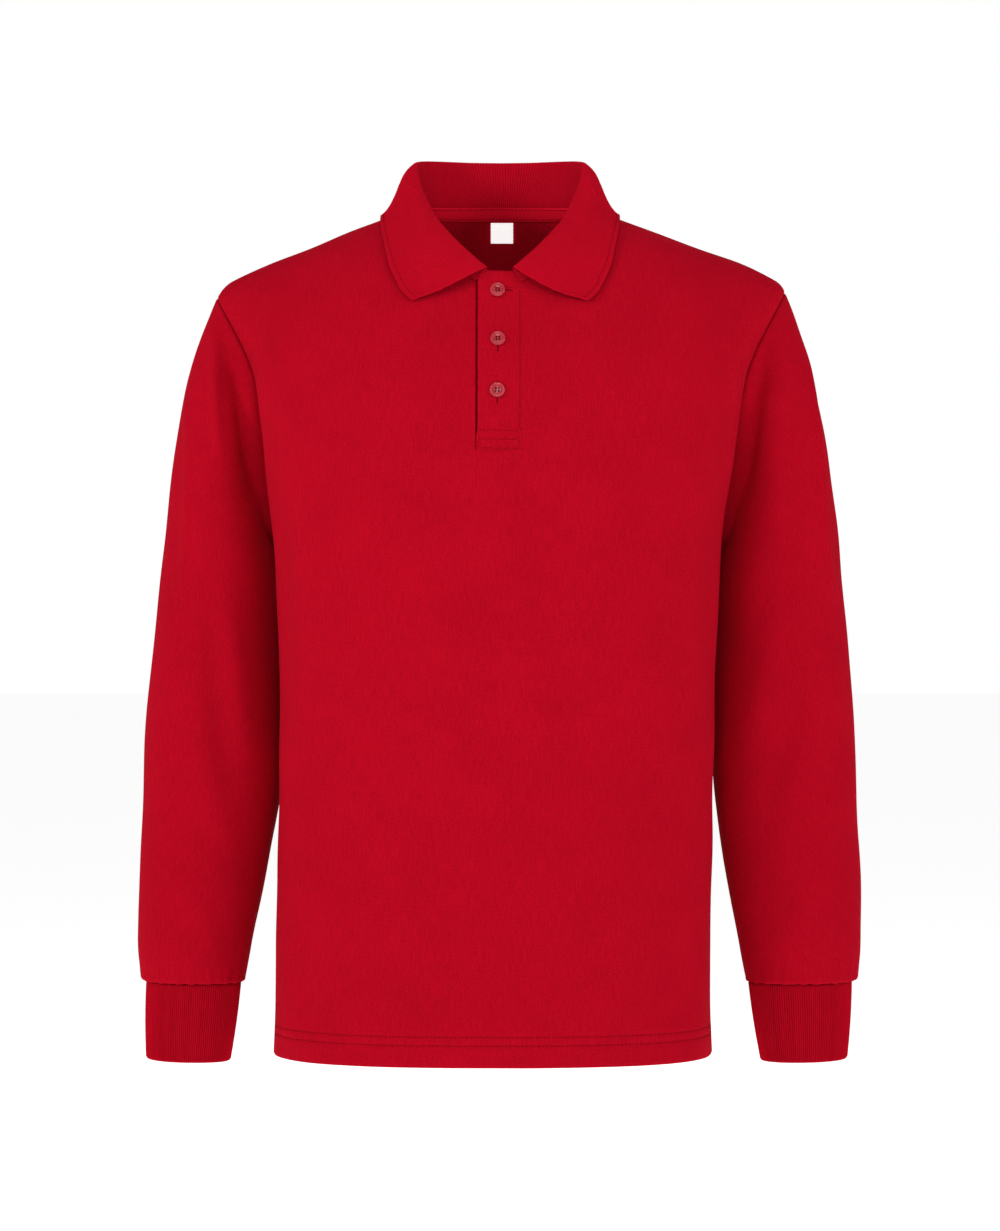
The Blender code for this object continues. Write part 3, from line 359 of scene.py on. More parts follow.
def distances(points):
    # How far each point lies along its line.
    return np.concatenate([[0.0], np.cumsum(np.linalg.norm(np.diff(points, axis=0), axis=1))])


def along3(at, length, points):
    # The line's points where a measure along it, length, has the values at; each axis by itself.
    return np.stack([np.interp(at, length, points[:, k]) for k in range(3)], axis=-1)


def spaced(points, shares):
    length = distances(points)
    return along3(np.asarray(shares) * length[-1], length, points)


def normals(grid):
    return unit(np.cross(np.gradient(grid, axis=0), np.gradient(grid, axis=1)))


def graded(cells, near=(), far=()):
    # Even shares from 0 to 1, with more of them close to the start and the end.
    return np.unique(np.concatenate([np.linspace(0, 1, cells + 1), near, 1 - np.asarray(far, float)]))


def gridLengths(grid, closed=False):
    # Distance along the columns' way and the rows' way, with one more column where the grid is closed.
    full = np.concatenate([grid, grid[:1]]) if closed else grid
    steps = [np.linalg.norm(np.diff(full, axis=k), axis=2) for k in (0, 1)]
    sums = [np.cumsum(step, axis=k) for k, step in enumerate(steps)]
    return np.pad(sums[0], ((1, 0), (0, 0))), np.pad(sums[1], ((0, 0), (1, 0)))


def wallMesh(name, outer, inner, look, node, closed=False, keep=None, uv=None, shade=None):
    # Two grids of points joined into a closed wall, with a rim wherever a kept cell has no neighbour.
    columns, rows = outer.shape[:2]
    count = columns * rows
    wide = columns if closed else columns - 1
    cells = np.ones((wide, rows - 1), bool) if keep is None else keep
    i, j = np.nonzero(cells)
    here = i * rows + j
    flat = np.stack([here, here + rows, here + rows + 1, here + 1], 1)  # on a closed grid, one column more
    ring = flat % count
    edges, flatEdges = (np.stack([q, np.roll(q, -1, 1)], 2).reshape(-1, 2) for q in (ring, flat))
    loose = ~np.isin(edges[:, 1] * count + edges[:, 0], edges[:, 0] * count + edges[:, 1])
    a, b = edges[loose].T
    rim = np.stack([b, a, a + count, b + count], 1)
    fa, fb = flatEdges[loose].T
    faces = np.concatenate([ring, ring[:, ::-1] + count, rim])
    maps = np.concatenate([flat, flat[:, ::-1], np.stack([fb, fa, fa, fb], 1)])
    if uv is None:
        uv = np.stack(gridLengths(outer, closed), axis=-1)
    vertices = np.concatenate([outer.reshape(-1, 3), inner.reshape(-1, 3)])
    a, b, c, d = vertices[faces].transpose(1, 0, 2)
    if (np.cross(a, b) * c).sum() + (np.cross(a, c) * d).sum() < 0:  # the volume, turned inside out
        faces, maps = faces[:, ::-1], maps[:, ::-1]
    shade = np.ones(count) if shade is None else np.broadcast_to(shade, outer.shape[:2]).ravel()
    corners = uv.reshape(-1, 2)[maps.reshape(-1)]
    return quadMesh(name, vertices, faces, look, node, corners, np.tile(shade, 2))


def quadMesh(name, vertices, faces, look, node, corners=None, shade=None):
    # A mesh of the points that its faces use, from millimetres, with its map and its painted shade.
    used = np.unique(faces)
    where = np.zeros(len(vertices), int)
    where[used] = np.arange(len(used))
    vertices, faces = vertices[used] * mm, where[faces]
    mesh = bpy.data.meshes.new(name)
    mesh.vertices.add(len(vertices))
    mesh.vertices.foreach_set("co", vertices.astype(np.float32).ravel())
    sides = faces.shape[1]
    mesh.loops.add(faces.size)
    mesh.loops.foreach_set("vertex_index", faces.astype(np.int32).ravel())
    mesh.polygons.add(len(faces))
    mesh.polygons.foreach_set("loop_start", np.arange(0, faces.size, sides, dtype=np.int32))
    mesh.polygons.foreach_set("loop_total", np.full(len(faces), sides, np.int32))
    if corners is not None:
        layer = mesh.uv_layers.new(name="cloth")
        layer.data.foreach_set("uv", corners.astype(np.float32).ravel())
    if shade is not None:
        mesh.attributes.new("shade", "FLOAT", "POINT").data.foreach_set("value", shade[used].astype(np.float32))
    mesh.update(calc_edges=True)
    mesh.validate()
    mesh.polygons.foreach_set("use_smooth", np.ones(len(mesh.polygons), bool))
    mesh.set_sharp_from_angle(angle=math.radians(sharpAngle))
    mesh.materials.append(look)
    thing = bpy.data.objects.new(name, mesh)
    bpy.context.scene.collection.objects.link(thing)
    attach(thing, "root")
    if node:
        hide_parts(node)
    return thing


def area(thing):
    # Half the area of a wall's faces, in square metres.
    return sum(p.area for p in thing.data.polygons) / 2


# ---- body: the same form as the solids, with finer cells
bodySizes = table(
    "height right left widest front back front_end back_end",
    (-717, 191, 178.5, -22, -140, 115, -50, -50),
    (-672, 189.5, 177.5, -22, -138, 115, -48, -48),
    (-590, 188.5, 177.8, -24, -134, 116, -18, -18),
    (-500, 185.5, 179, -25, -131, 118, 0, 0),
    (-410, 186.5, 181.5, -27, -130, 119, 8, 8),
    (-335, 188.6, 184.5, -29, -130, 120, 13, 13),
    (-272, 192, 188.5, -31, -131, 120, 16, 16),
    (-214, 198, 197, -38, -127, 119, -14, 60),
    (-150, 206, 206, -45, -113.5, 113, -40, 80),
)
shoulderSizes = table(
    "right right_height left left_height",
    (72, 0, 72, 0), (100, -11.3, 100, -10.6), (128, -22.3, 130, -21.9),
    (160, -36.3, 168, -36.6), (195, -49.8, 205, -49.6), (225, -63.4, 231.5, -62.6),
    (234.5, -70.2, 239, -68.2), (240.7, -79, 242.5, -74.5),
)
body = {
    "wall": 1.5, "seamWall": 0.35, "seamDip": 1.0, "seamWide": 1.0, "seamShade": 0.5, "seamShadeWide": 0.75,
    "frontRound": 2.6, "backRound": 2.15, "ripple": 0.55, "calmEdge": 25.0, "backRounds": 60,
    "underarm": -272.0, "foot": -214.0, "chest": -150.0, "hem": -717.0, "shoulderDepth": -5.0,
    "shoulderCells": 44, "neckCells": 26, "slotCells": 4, "frontShare": 0.66, "backShare": 0.575,
    "lowRows": 74, "upRows": (12, 16, 26), "slotRight": 20.1, "slotLeft": 17.5,
    "nearSide": (0.004, 0.009, 0.018), "nearTop": (0.007, 0.016, 0.03),
    "hemRows": (
        0.0, 0.5, 1.4, 3.0, 6.0, 10.0, 14.0, 16.6, 17.4, 18.0, 18.6, 19.6, 22.0, 23.8, 24.5, 25.1, 25.7, 26.8, 29.0,
    ),
    "hemHigh": 25.6, "hemWall": 1.3, "hemStitch": (18.0, 25.1), "hemDip": 0.45, "pucker": 0.14, "hemFold": 0.8,
}
neck = {
    "half": 72.0, "front": 88.0, "back": 70.0, "drop": -76.0, "rise": 5.0, "bend": 1.45, "lean": 0.4,
    "frontTilt": (0.0, 0.35, 0.94), "backTilt": (0.0, -0.30, 0.95),
}


def sideSection(height, side):
    # Half a body section from mid back to mid front, |x/a|^n + |y/b|^n = 1; n and b differ before and behind.
    row = {k: float(smooth(height, bodySizes["height"], v)) for k, v in bodySizes.items() if k != "height"}
    if height <= body["underarm"]:
        row["front_end"] = row["back_end"] = (row["front_end"] + row["back_end"]) / 2
    a = np.linspace(-math.pi / 2, math.pi / 2, 1601)
    power = np.where(a < 0, 2 / body["backRound"], 2 / body["frontRound"])
    deep = np.where(a < 0, row["back"] - row["widest"], row["widest"] - row["front"])
    x = row[side] * np.cos(a) ** power
    y = row["widest"] - np.sign(a) * deep * np.abs(np.sin(a)) ** power
    return np.stack([x, y, np.full_like(x, height)], axis=1), row


def partOf(points, start, stop):
    length = distances(points)
    ends = along3((start, stop), length, points)
    return np.vstack([ends[0], points[(length > start) & (length < stop)], ends[1]])


def columnShares(front):
    # Shares of a half section's width: below the shoulder seam, then below the neckline.
    share = body["frontShare"] if front else body["backShare"]
    first = share * graded(body["shoulderCells"], body["nearSide"])
    return np.concatenate([first, share + (1 - share) * graded(body["neckCells"])[1:]])


def halfSection(height, side, front):
    # The part of a section that one panel covers, from the side seam to the middle or to the placket's slot.
    points, row = sideSection(height, side)
    if front:
        length = distances(points)
        slot = body["slotRight"] if side == "right" else body["slotLeft"]
        start = np.interp(-row["front_end"], -points[:, 1], length)
        ahead = points[:, 1] < row["widest"]
        stretch = partOf(points, start, np.interp(-slot, -points[ahead, 0], length[ahead]))
    else:
        points = points[::-1]
        length = distances(points)
        stretch = partOf(points, np.interp(row["back_end"], points[:, 1], length), length[-1])
    return spaced(stretch, columnShares(front))


def neckline(angle):
    # Half ellipses in plan, whose height is a power of the sine; 0 at the shoulder, 90 degrees in front.
    s = np.sin(angle)
    deep = np.where(s > 0, neck["front"], neck["back"])
    height = np.where(s > 0, neck["drop"] * np.abs(s) ** neck["bend"], neck["rise"] * np.abs(s) ** 1.5)
    return np.stack([neck["half"] * np.cos(angle), -deep * s, height], axis=-1)


def shoulderLine(side):
    # From the armhole to the neck: smooth curves through the sizes, with a slow sine for the depth.
    t = np.linspace(0, 1, 120)
    rows = np.linspace(0, 1, len(shoulderSizes[side]))
    x, z = smooth(t, rows, shoulderSizes[side]), smooth(t, rows, shoulderSizes[side + "_height"])
    y = body["shoulderDepth"] * np.sin(np.pi * np.clip(t / 1.6, 0, 1))
    return np.stack([x, y, z], axis=1)[::-1]


def topLine(side, front):
    # The panel's upper edge: the shoulder seam, then the neckline to the middle or to the slot.
    seam = spaced(shoulderLine(side), graded(body["shoulderCells"], body["nearSide"]))
    slot = body["slotRight"] if side == "right" else body["slotLeft"]
    last = math.acos(slot / neck["half"]) if front else -math.pi / 2
    edge = neckline(np.linspace(0, last, 600))
    return np.vstack([seam, spaced(edge, graded(body["neckCells"]))[1:]])


def arrival(front):
    # The way each column meets the top: flat at the shoulder seam, leaning up by steps round the neck.
    sign = 1.0 if front else -1.0
    tilt = np.array(neck["frontTilt"] if front else neck["backTilt"])
    flat = np.array([0.0, sign, 0.12 * sign])
    seam = graded(body["shoulderCells"], body["nearSide"])
    nearNeck = np.clip((seam * 9 - 3) / 6, 0, 1)
    onNeck = neck["lean"] + (1 - neck["lean"]) * graded(body["neckCells"])[1:]
    share = np.concatenate([neck["lean"] * nearNeck**2, onNeck])[:, None]
    return unit((1 - share) * flat + share * tilt)


def halfPanel(side, front):
    # Rows from the hem up: sections to the underarm, then cubics through two more and on to the top line.
    low = np.concatenate([
        body["hem"] + np.array(body["hemRows"]),
        np.linspace(body["hem"] + 34, body["underarm"], body["lowRows"]),
    ])
    rows = [np.array([halfSection(z, side, front) for z in low])]
    ring = [halfSection(z, side, front) for z in (body["underarm"], body["foot"], body["chest"])]
    ring.append(topLine(side, front))
    below = halfSection(body["underarm"] - 6, side, front)
    up = unit(ring[0] - below)
    turn = unit(np.gradient(ring[0], axis=0))
    near = np.exp(-np.linalg.norm(ring[0] - ring[0][0], axis=1, keepdims=True) / 26.0)
    chord = [np.linalg.norm(b - a, axis=1, keepdims=True) for a, b in zip(ring, ring[1:])]
    ways = [unit(up * (1 - near) + turn * near)]
    for k in (1, 2):
        before, after = (ring[k] - ring[k - 1]) / chord[k - 1], (ring[k + 1] - ring[k]) / chord[k]
        ways.append(unit(before * chord[k] + after * chord[k - 1]))
    ways.append(arrival(front))
    for k, cells in enumerate(body["upRows"]):
        t = graded(cells, far=body["nearTop"] if k == 2 else ())[1:, None, None]
        rows.append(cubic(t, ring[k], ring[k + 1], ways[k] * chord[k], ways[k + 1] * chord[k]))
    return np.concatenate(rows)


def panel(front):
    # Both halves side by side, as columns of rows; the front's slot is filled with cells that are cut later.
    right, left = halfPanel("right", front) * mirror, halfPanel("left", front)
    if front:
        shares = graded(body["slotCells"])[1:-1]
        middle = right[:, -1:] + (left[:, -1:] - right[:, -1:]) * shares[None, :, None]
        columns = [right, middle, left[:, ::-1]]
    else:
        columns = [right, left[:, -2::-1]]
    return np.concatenate(columns, axis=1).transpose(1, 0, 2)


def faced(grid, way):
    # The grid's normals, turned to the side that this way points to.
    out = normals(grid)
    return out if out[len(grid) // 2, grid.shape[1] // 3] @ np.array(way) > 0 else -out


# ---- soft creases: each from one point to another of the front view, bowed to one side
creases = table(  # a trough where high is below 0; front is 1 on the front and 0 on the back
    "x0 z0 x1 z1 bow wide high front",
    # wearer's right sleeve
    (-234, -300, -211, -470, 0, 12, 3, 1), (-246, -345, -228, -500, 0, 11, -2.6, 1),
    (-262, -430, -222, -560, 0, 13, 2.2, 1), (-248, -98, -262, -210, 0, 10, 1.6, 1),
    (-240, -90, -235, -215, -2, 5, 5, 1), (-229, -112, -206, -250, 3, 8, -9, 1),
    (-213, -150, -202, -205, 0, 6, 3.2, 1), (-199, -185, -184, -450, 2, 17, -7, 1),
    (-263, -150, -273, -340, 3, 3.5, 2, 1), (-272, -150, -281, -340, 3, 5, -2.4, 1),
    (-256, -330, -216, -400, 8, 7, 1, 1), (-286, -560, -236, -640, 8, 9, 1.1, 1),
    (-270, -505, -214, -560, -6, 8, -1, 1),
    # wearer's left sleeve
    (256, -120, 284, -330, 0, 10, 2.4, 1), (238, -150, 252, -330, 0, 12, -2.6, 1),
    (236, -330, 206, -470, 0, 13, 3, 1), (262, -380, 218, -545, 0, 12, -2.4, 1),
    (259, -104, 281, -330, -2, 4, 4.2, 1), (269, -106, 291, -320, -2, 6, -4.4, 1),
    (226, -104, 204, -250, -4, 8, -9, 1), (197, -175, 181, -450, -2, 17, -7, 1),
    (240, -128, 236, -210, -2, 8, 1.4, 1), (286, -560, 238, -636, -7, 9, 1, 1),
    (250, -470, 208, -530, 6, 8, 1.1, 1), (292, -420, 268, -520, 5, 9, -0.9, 1),
    # behind the sleeves
    (-240, -260, -262, -470, 0, 13, 2.6, 0), (-262, -300, -232, -450, 0, 12, -2.4, 0),
    (240, -250, 262, -440, 0, 13, 2.6, 0), (262, -330, 230, -500, 0, 12, -2.4, 0),
    (-222, -410, -280, -470, 9, 8, 1.4, 0), (-216, -470, -276, -540, 8, 9, -1.3, 0),
    (218, -420, 280, -488, -9, 8, 1.4, 0), (214, -500, 272, -566, -7, 9, 1.2, 0),
    # front of the body
    (-176, -570, -172, -700, 0, 9, 1.6, 1), (-160, -560, -163, -690, 0, 9, -1.4, 1),
    (166, -600, 164, -712, 0, 9, 1.4, 1), (-196, -120, -160, -300, 14, 14, 0.9, 1),
    (196, -110, 164, -290, -14, 14, 0.9, 1), (-150, -330, -110, -470, 10, 20, 0.6, 1),
    (120, -300, 96, -470, -8, 22, 0.6, 1), (-60, -520, -78, -700, 6, 22, 0.7, 1),
    (70, -540, 84, -705, -6, 24, 0.6, 1), (-8, -560, 2, -708, 0, 20, -0.6, 1),
    (-120, -640, -124, -715, 2, 10, 0.7, 1), (124, -650, 120, -715, -2, 11, 0.7, 1),
    # back of the body
    (-120, -230, -60, -400, 0, 22, 1.6, 0), (110, -240, 70, -430, 0, 24, 1.6, 0),
    (-90, -480, -110, -690, 0, 26, 2, 0), (84, -500, 98, -700, 0, 26, 1.8, 0),
    (0, -470, 6, -690, 0, 24, -1.8, 0), (-176, -150, -120, -270, 10, 14, 1.2, 0),
    (178, -146, 126, -280, -10, 14, 1.2, 0), (-40, -300, 36, -330, 8, 16, 0.9, 0),
    (150, -560, 158, -705, 4, 14, 1.2, 0), (-154, -580, -160, -708, -4, 13, -1.1, 0),
)


def creaseField(points, facing):
    # A bell across each crease, faded at both ends, on the side of the cloth that faces the same way.
    out = np.zeros(points.shape[:-1])
    p = points[..., [0, 2]]
    for x0, z0, x1, z1, bow, wide, high, front in zip(*creases.values()):
        a, b = np.array([x0, z0]), np.array([x1, z1])
        square = np.array([-(b - a)[1], (b - a)[0]]) / np.linalg.norm(b - a)
        t = ((p - a) @ (b - a)) / ((b - a) @ (b - a))
        inside = np.clip(t, 0, 1)
        middle = a + inside[..., None] * (b - a) + (bow * np.sin(np.pi * inside))[..., None] * square
        off = np.linalg.norm(p - middle, axis=-1)
        fade = np.clip(1 - np.maximum(-t, t - 1) * 2.5, 0, 1) ** 2 * np.sin(np.pi * np.clip(t * 0.9 + 0.05, 0, 1))
        out += high * bell(off, wide) * fade * np.clip((-facing if front else facing) * 2.2, 0, 1)
    return out


waves = (  # turns by x, y and z, start and share
    (0.031, 0.012, 0.021, 0.3, 1.0), (-0.044, 0.020, 0.030, 1.7, 0.8), (0.062, -0.030, 0.047, 4.1, 0.5),
    (0.018, 0.050, -0.066, 2.2, 0.45), (-0.090, 0.041, 0.080, 5.3, 0.25), (0.120, 0.060, 0.034, 0.9, 0.2),
)


def rippleField(points, amount):
    # The cloth's own slight unevenness: a few slanted sine waves of different lengths, added up.
    x, y, z = points[..., 0], points[..., 1], points[..., 2]
    return amount * sum(high * np.sin(a * x + b * y + c * z + phase) for a, b, c, phase, high in waves)


front, back = panel(True), panel(False)
underRow = len(body["hemRows"]) + body["lowRows"] - 1
seamCount = len(graded(body["shoulderCells"], body["nearSide"]))


def eased(grid, rounds):
    # The depth across each row above the armholes, averaged with its neighbours; the neckline and seams stay.
    toTop, high = gridLengths(grid)[1], grid[:, underRow:, 2]
    share = np.clip((toTop[:, -1:] - toTop) / 12, 0, 1)[:, underRow:] * np.clip((high + 250) / 80, 0, 1)
    depth = grid[:, underRow:, 1].copy()
    for _ in range(rounds):
        depth[1:-1] = (depth[:-2] + 2 * depth[1:-1] + depth[2:]) / 4
    grid[:, underRow:, 1] += share * (depth - grid[:, underRow:, 1])


def creased(grid, way):
    # Creases and unevenness pushed along the normals, but not at the panel's seams and neckline.
    facing = faced(grid, way)
    across, along = gridLengths(grid)
    edge = np.minimum(np.minimum(across, across[-1] - across), along[:, -1:] - along)
    push = creaseField(grid, facing[..., 1]) + rippleField(grid, body["ripple"])
    grid += (push * np.clip(edge / body["calmEdge"], 0, 1))[..., None] * facing
    return faced(grid, way)


eased(back, body["backRounds"])
outFront, outBack = creased(front, (0, -1, 0)), creased(back, (0, 1, 0))

# ---- sleeves: cubics from the armhole to the first section, sections below, and a soft roll over the cuff
sleeveSizes = table(
    "height right_out right_in left_out left_in middle half turn",
    (-320, 292.5, 183.5, 294.5, 181.5, 33, 66, 0),
    (-400, 300, 184.5, 300.5, 181.5, 28, 60, 0),
    (-500, 306.3, 188.5, 306.3, 184, 20, 54, 1.5),
    (-557, 308, 198, 308, 191.7, 12, 50, 3),
    (-608, 308.8, 207.5, 307.7, 200.2, 3, 46.5, 5),
    (-642, 307, 213.5, 306, 205.6, -3, 44, 7),
    (-655, 305.2, 216.8, 304.3, 209, -5, 43, 7.5),
)
cuffSizes = table(
    "height right_out right_in left_out left_in middle half turn",
    (-659.2, 300.6, 220.2, 299.2, 211.2, -6, 38.5, 7.5),
    (-725, 300.2, 229.2, 294.6, 221.6, -9, 33.5, 9),
)
sleeveShape = {
    "round": 2.2, "topRows": 56, "nearTop": (0.004, 0.010, 0.02), "rows": 68, "end": -658.8, "rollRows": 8,
    "rollBend": 1.4, "gather": 0.55, "gatherHigh": 7, "gatherWide": 9.0, "tucks": (31, 19), "ripple": 0.5,
    "calmTop": 22.0, "calmEnd": (6, 30.0), "endShade": 0.3,
}


def tubeSection(side, height, angle, source):
    # |x/a|^n + |y/b|^n = 1 about the sleeve's middle; 0 beside the body, 90 degrees in front, 180 outside.
    row = {k: smooth(height, source["height"][::-1], v[::-1]) for k, v in source.items() if k != "height"}
    far, near = row[side + "_out"], row[side + "_in"]
    middle, half = (far + near) / 2, (far - near) / 2
    c, s = np.cos(angle), np.sin(angle)
    x = middle - half * np.sign(c) * np.abs(c) ** (2 / sleeveShape["round"]) - row["turn"] * s
    y = row["middle"] - row["half"] * np.sign(s) * np.abs(s) ** (2 / sleeveShape["round"])
    return np.stack(np.broadcast_arrays(x, y, height * np.ones_like(x)), axis=-1)


def sleeveGrid(side, loop):
    # From the armhole's loop, whose points keep their share of the way round, down to the roll over the cuff.
    low, last = sleeveSizes["height"][0], sleeveSizes["height"][-1]
    top = int(np.argmax(loop[:, 2]))
    length = distances(np.vstack([loop, loop[:1]]))
    angle = np.where(
        length[:-1] <= length[top], math.pi * length[:-1] / length[top],
        math.pi + math.pi * (length[:-1] - length[top]) / (length[-1] - length[top]),
    )
    first, second = tubeSection(side, low, angle, sleeveSizes), tubeSection(side, low - 10, angle, sleeveSizes)
    chord = np.linalg.norm(first - loop, axis=1, keepdims=True)
    outward = np.sin(angle)[:, None] ** 2
    leave = unit(np.hstack([0.36 + 0.42 * outward, -0.30 * np.sin(angle)[:, None], -0.92 + 0.34 * outward]))
    arrive = unit(second - first)
    t = graded(sleeveShape["topRows"], sleeveShape["nearTop"])[:, None, None]
    rows = [cubic(t, loop, first, leave * chord, arrive * chord)]
    heights = np.linspace(low, last, sleeveShape["rows"] + 1)[1:, None]
    rows.append(tubeSection(side, heights, angle[None], sleeveSizes))
    end = tubeSection(side, cuffSizes["height"][0], angle, cuffSizes)
    end[:, 2] = sleeveShape["end"]
    a = np.linspace(0, math.pi / 2, sleeveShape["rollRows"] + 1)[1:, None, None]
    roll = rows[1][-1] + (end - rows[1][-1]) * (1 - np.cos(a)) ** sleeveShape["rollBend"]
    roll[..., 2] = last + (sleeveShape["end"] - last) * np.sin(a[..., 0])
    rows.append(roll)
    return np.concatenate(rows).transpose(1, 0, 2)


def sleeveOut(grid, side):
    # Normals of the closed tube, away from its middle.
    out = normals(np.concatenate([grid[-1:], grid, grid[:1]]))[1:-1]
    outside = out[front.shape[1] - underRow - 1, 60, 0] > 0
    return out if outside == (side == "left") else -out


def armhole(column, frontValues, backValues):
    # What both panels have along one armhole, from the underarm up the front and down the back.
    return np.vstack([frontValues[column, underRow:], backValues[column, underRow:][::-1][1:-1]])


def makeSleeveGrid(side, column):
    # The sleeve's form with its creases, unevenness and the small tucks where it is sewn to the cuff.
    flip = mirror if side == "right" else 1.0
    grid = sleeveGrid(side, armhole(column, front, back) * flip) * flip
    out = sleeveOut(grid, side)
    across, along = gridLengths(grid, True)
    along, turns = along[:-1], 2 * np.pi * across[:-1] / across[-1]
    toCuff = along[:, -1:] - along
    start, stretch = sleeveShape["calmEnd"]
    push = creaseField(grid, out[..., 1]) + rippleField(grid, sleeveShape["ripple"])
    push *= np.clip(along / sleeveShape["calmTop"], 0, 1) * np.clip((toCuff - start) / stretch, 0, 1)
    many, few = sleeveShape["tucks"]
    tuck = np.sin(many * turns + 1.3 * np.sin(5 * turns)) + 0.6 * np.sin(few * turns + 2.0)
    push += sleeveShape["gather"] * tuck * bell(toCuff - sleeveShape["gatherHigh"], sleeveShape["gatherWide"])
    grid = grid + push[..., None] * out
    return grid, sleeveOut(grid, side), along


armholes = {"right": 0, "left": -1}
sleeves = {side: makeSleeveGrid(side, column) for side, column in armholes.items()}

# The cloth dips into each seam along a way that both sides share, and its wall thins there.
dipFront, dipBack = outFront.copy(), outBack.copy()
for column in (0, -1):
    shared = unit(outFront[column, : underRow + 1] + outBack[column, : underRow + 1])
    dipFront[column, : underRow + 1] = dipBack[column, : underRow + 1] = shared
for k in range(seamCount):
    for i in (k, -1 - k):
        dipFront[i, -1] = dipBack[i, -1] = unit(outFront[i, -1] + outBack[i, -1])
sleeveDips = {}
upCount = front.shape[1] - underRow
for side, column in armholes.items():
    way = unit(armhole(column, outFront, outBack) + sleeves[side][1][:, 0])
    way = unit(way + 0.5 * (np.roll(way, 1, axis=0) + np.roll(way, -1, axis=0)))
    sleeveDips[side] = way
    dipFront[column, underRow:] = way[:upCount]
    dipBack[column, underRow:] = np.vstack([way[upCount - 1 :], way[:1]])[::-1]


def seamed(toSeam):
    # The wall's thickness and the painted shade, darkest right at the seam, at this distance from a seam.
    wall = body["seamWall"] + (body["wall"] - body["seamWall"]) * (1 - np.exp(-toSeam / 3.0))
    # painted shade: a narrow dark line along each seam and the neckline, where the cloth dips into shade
    return wall, 1 - body["seamShade"] * bell(toSeam, body["seamShadeWide"])


def dipped(grid, dips, out):
    # Each point sinks by a bell of its distance from the nearest seam, along that seam's own way, and by a
    # smaller one at the hem's stitch rows and its lower fold, with a slow wave between the rows.
    across, along = gridLengths(grid)
    toRight, toLeft, toTop = across, across[-1] - across, along[:, -1:] - along
    bells = [bell(far, body["seamWide"])[..., None] for far in (toRight, toLeft, toTop)]
    onSeam = np.zeros((len(grid), 1, 1), bool)
    onSeam[:seamCount] = onSeam[-seamCount:] = True
    atTop = (np.minimum(toRight, toLeft) > 4)[..., None]
    sunk = np.where(atTop, bells[2] * dips[:, -1:] * onSeam, bells[0] * dips[:1] + bells[1] * dips[-1:])
    height = grid[..., 2] - body["hem"]
    sew = sum(bell(height - h, 0.8) for h in body["hemStitch"])
    pucker = body["pucker"] * np.sin(across * 1.25 + 1.5 * np.sin(across * 0.21)) * bell(height - 21, 7)
    press = body["hemDip"] * sew - pucker + body["hemFold"] * bell(height, 0.9)
    outer = grid - body["seamDip"] * sunk - press[..., None] * out
    return outer, *seamed(np.minimum(np.minimum(toRight, toLeft), toTop)), height


def panelPlace(grid):
    # Place on the cloth: along each level section up to the armholes, and above them straight on from there.
    middle = len(grid) // 2
    level = grid[:, : underRow + 1]
    far = gridLengths(level)[0]
    far = far - far[middle] + level[middle, :, 0]
    last, x = far[:, -1], level[:, -1, 0]
    order = np.argsort(x)
    u = np.interp(grid[..., 0], x[order], last[order] - x[order]) + grid[..., 0]
    u[:, : underRow + 1] = far
    return np.stack([u, gridLengths(grid)[1]], axis=-1)


def makePanel(name, grid, dips, out, keep, node):
    # The wall is thicker in the turned-up hem, and its inside meets the seams along their own ways.
    outer, wall, shade, height = dipped(grid, dips, out)
    wall = wall + body["hemWall"] * rising((body["hemHigh"] - height) * 2.2) - 0.9 * bell(height, 0.9)
    inner = outer - wall[..., None] * out
    inner[[0, -1]] = outer[[0, -1]] - wall[[0, -1], :, None] * dips[[0, -1]]
    inner[:, -1] = outer[:, -1] - wall[:, -1, None] * dips[:, -1]
    return wallMesh(name, outer, inner, jersey, node, keep=keep, uv=panelPlace(grid), shade=shade)


keepFront = np.ones((front.shape[0] - 1, front.shape[1] - 1), bool)
slotRow, slotColumn = underRow + body["upRows"][0], seamCount + body["neckCells"] - 1
slotEnd = slotColumn + body["slotCells"]
keepFront[slotColumn:slotEnd, slotRow:] = False
frontCloth = makePanel("front_cloth", front, dipFront, outFront, keepFront, "front_panel")
backCloth = makePanel("back_cloth", back, dipBack, outBack, None, "back_panel")


def makeSleeve(side):
    # The wall of the sleeve, sunk into the armhole's seam; its inside stays above the roll at the cuff.
    grid, out, along = sleeves[side]
    dips = sleeveDips[side]
    outer = grid - body["seamDip"] * bell(along, body["seamWide"])[..., None] * dips[:, None]
    # painted shade along the armhole seam
    wall, shade = seamed(along)
    inner = outer - wall[..., None] * out
    inner[:, 0] = outer[:, 0] - body["seamWall"] * dips
    inner[:, -3:, 2] = np.maximum(inner[:, -3:, 2], outer[:, -3:, 2] + np.array([0.5, 0.25, 0.0]))
    # painted shade: darker at the sleeve's lower edge, where it rolls over onto the cuff
    shade = shade - sleeveShape["endShade"] * bell(along[:, -1:] - along, 1.0)
    name = f"sleeve_{side}"
    return wallMesh(name + "_cloth", outer, inner, jersey, name, closed=True, shade=shade)


sleeveCloths = {side: makeSleeve(side) for side in armholes}
print("body and sleeves")

# ---- cuffs: a tube whose outside is a row of rounded ribs, turned in at its lower edge
cuffShape = {
    "ribs": 136, "ribSteps": 6, "ribHigh": 0.75, "ribMap": 1.8, "wall": 2.4, "high": 65.8, "sag": 0.8,
    "rows": (0, 0.4, 1.2, 4, 12, 24, 36, 48, 58, 62.5, 64.4, 65.3, 65.8), "topShade": 0.25,
}


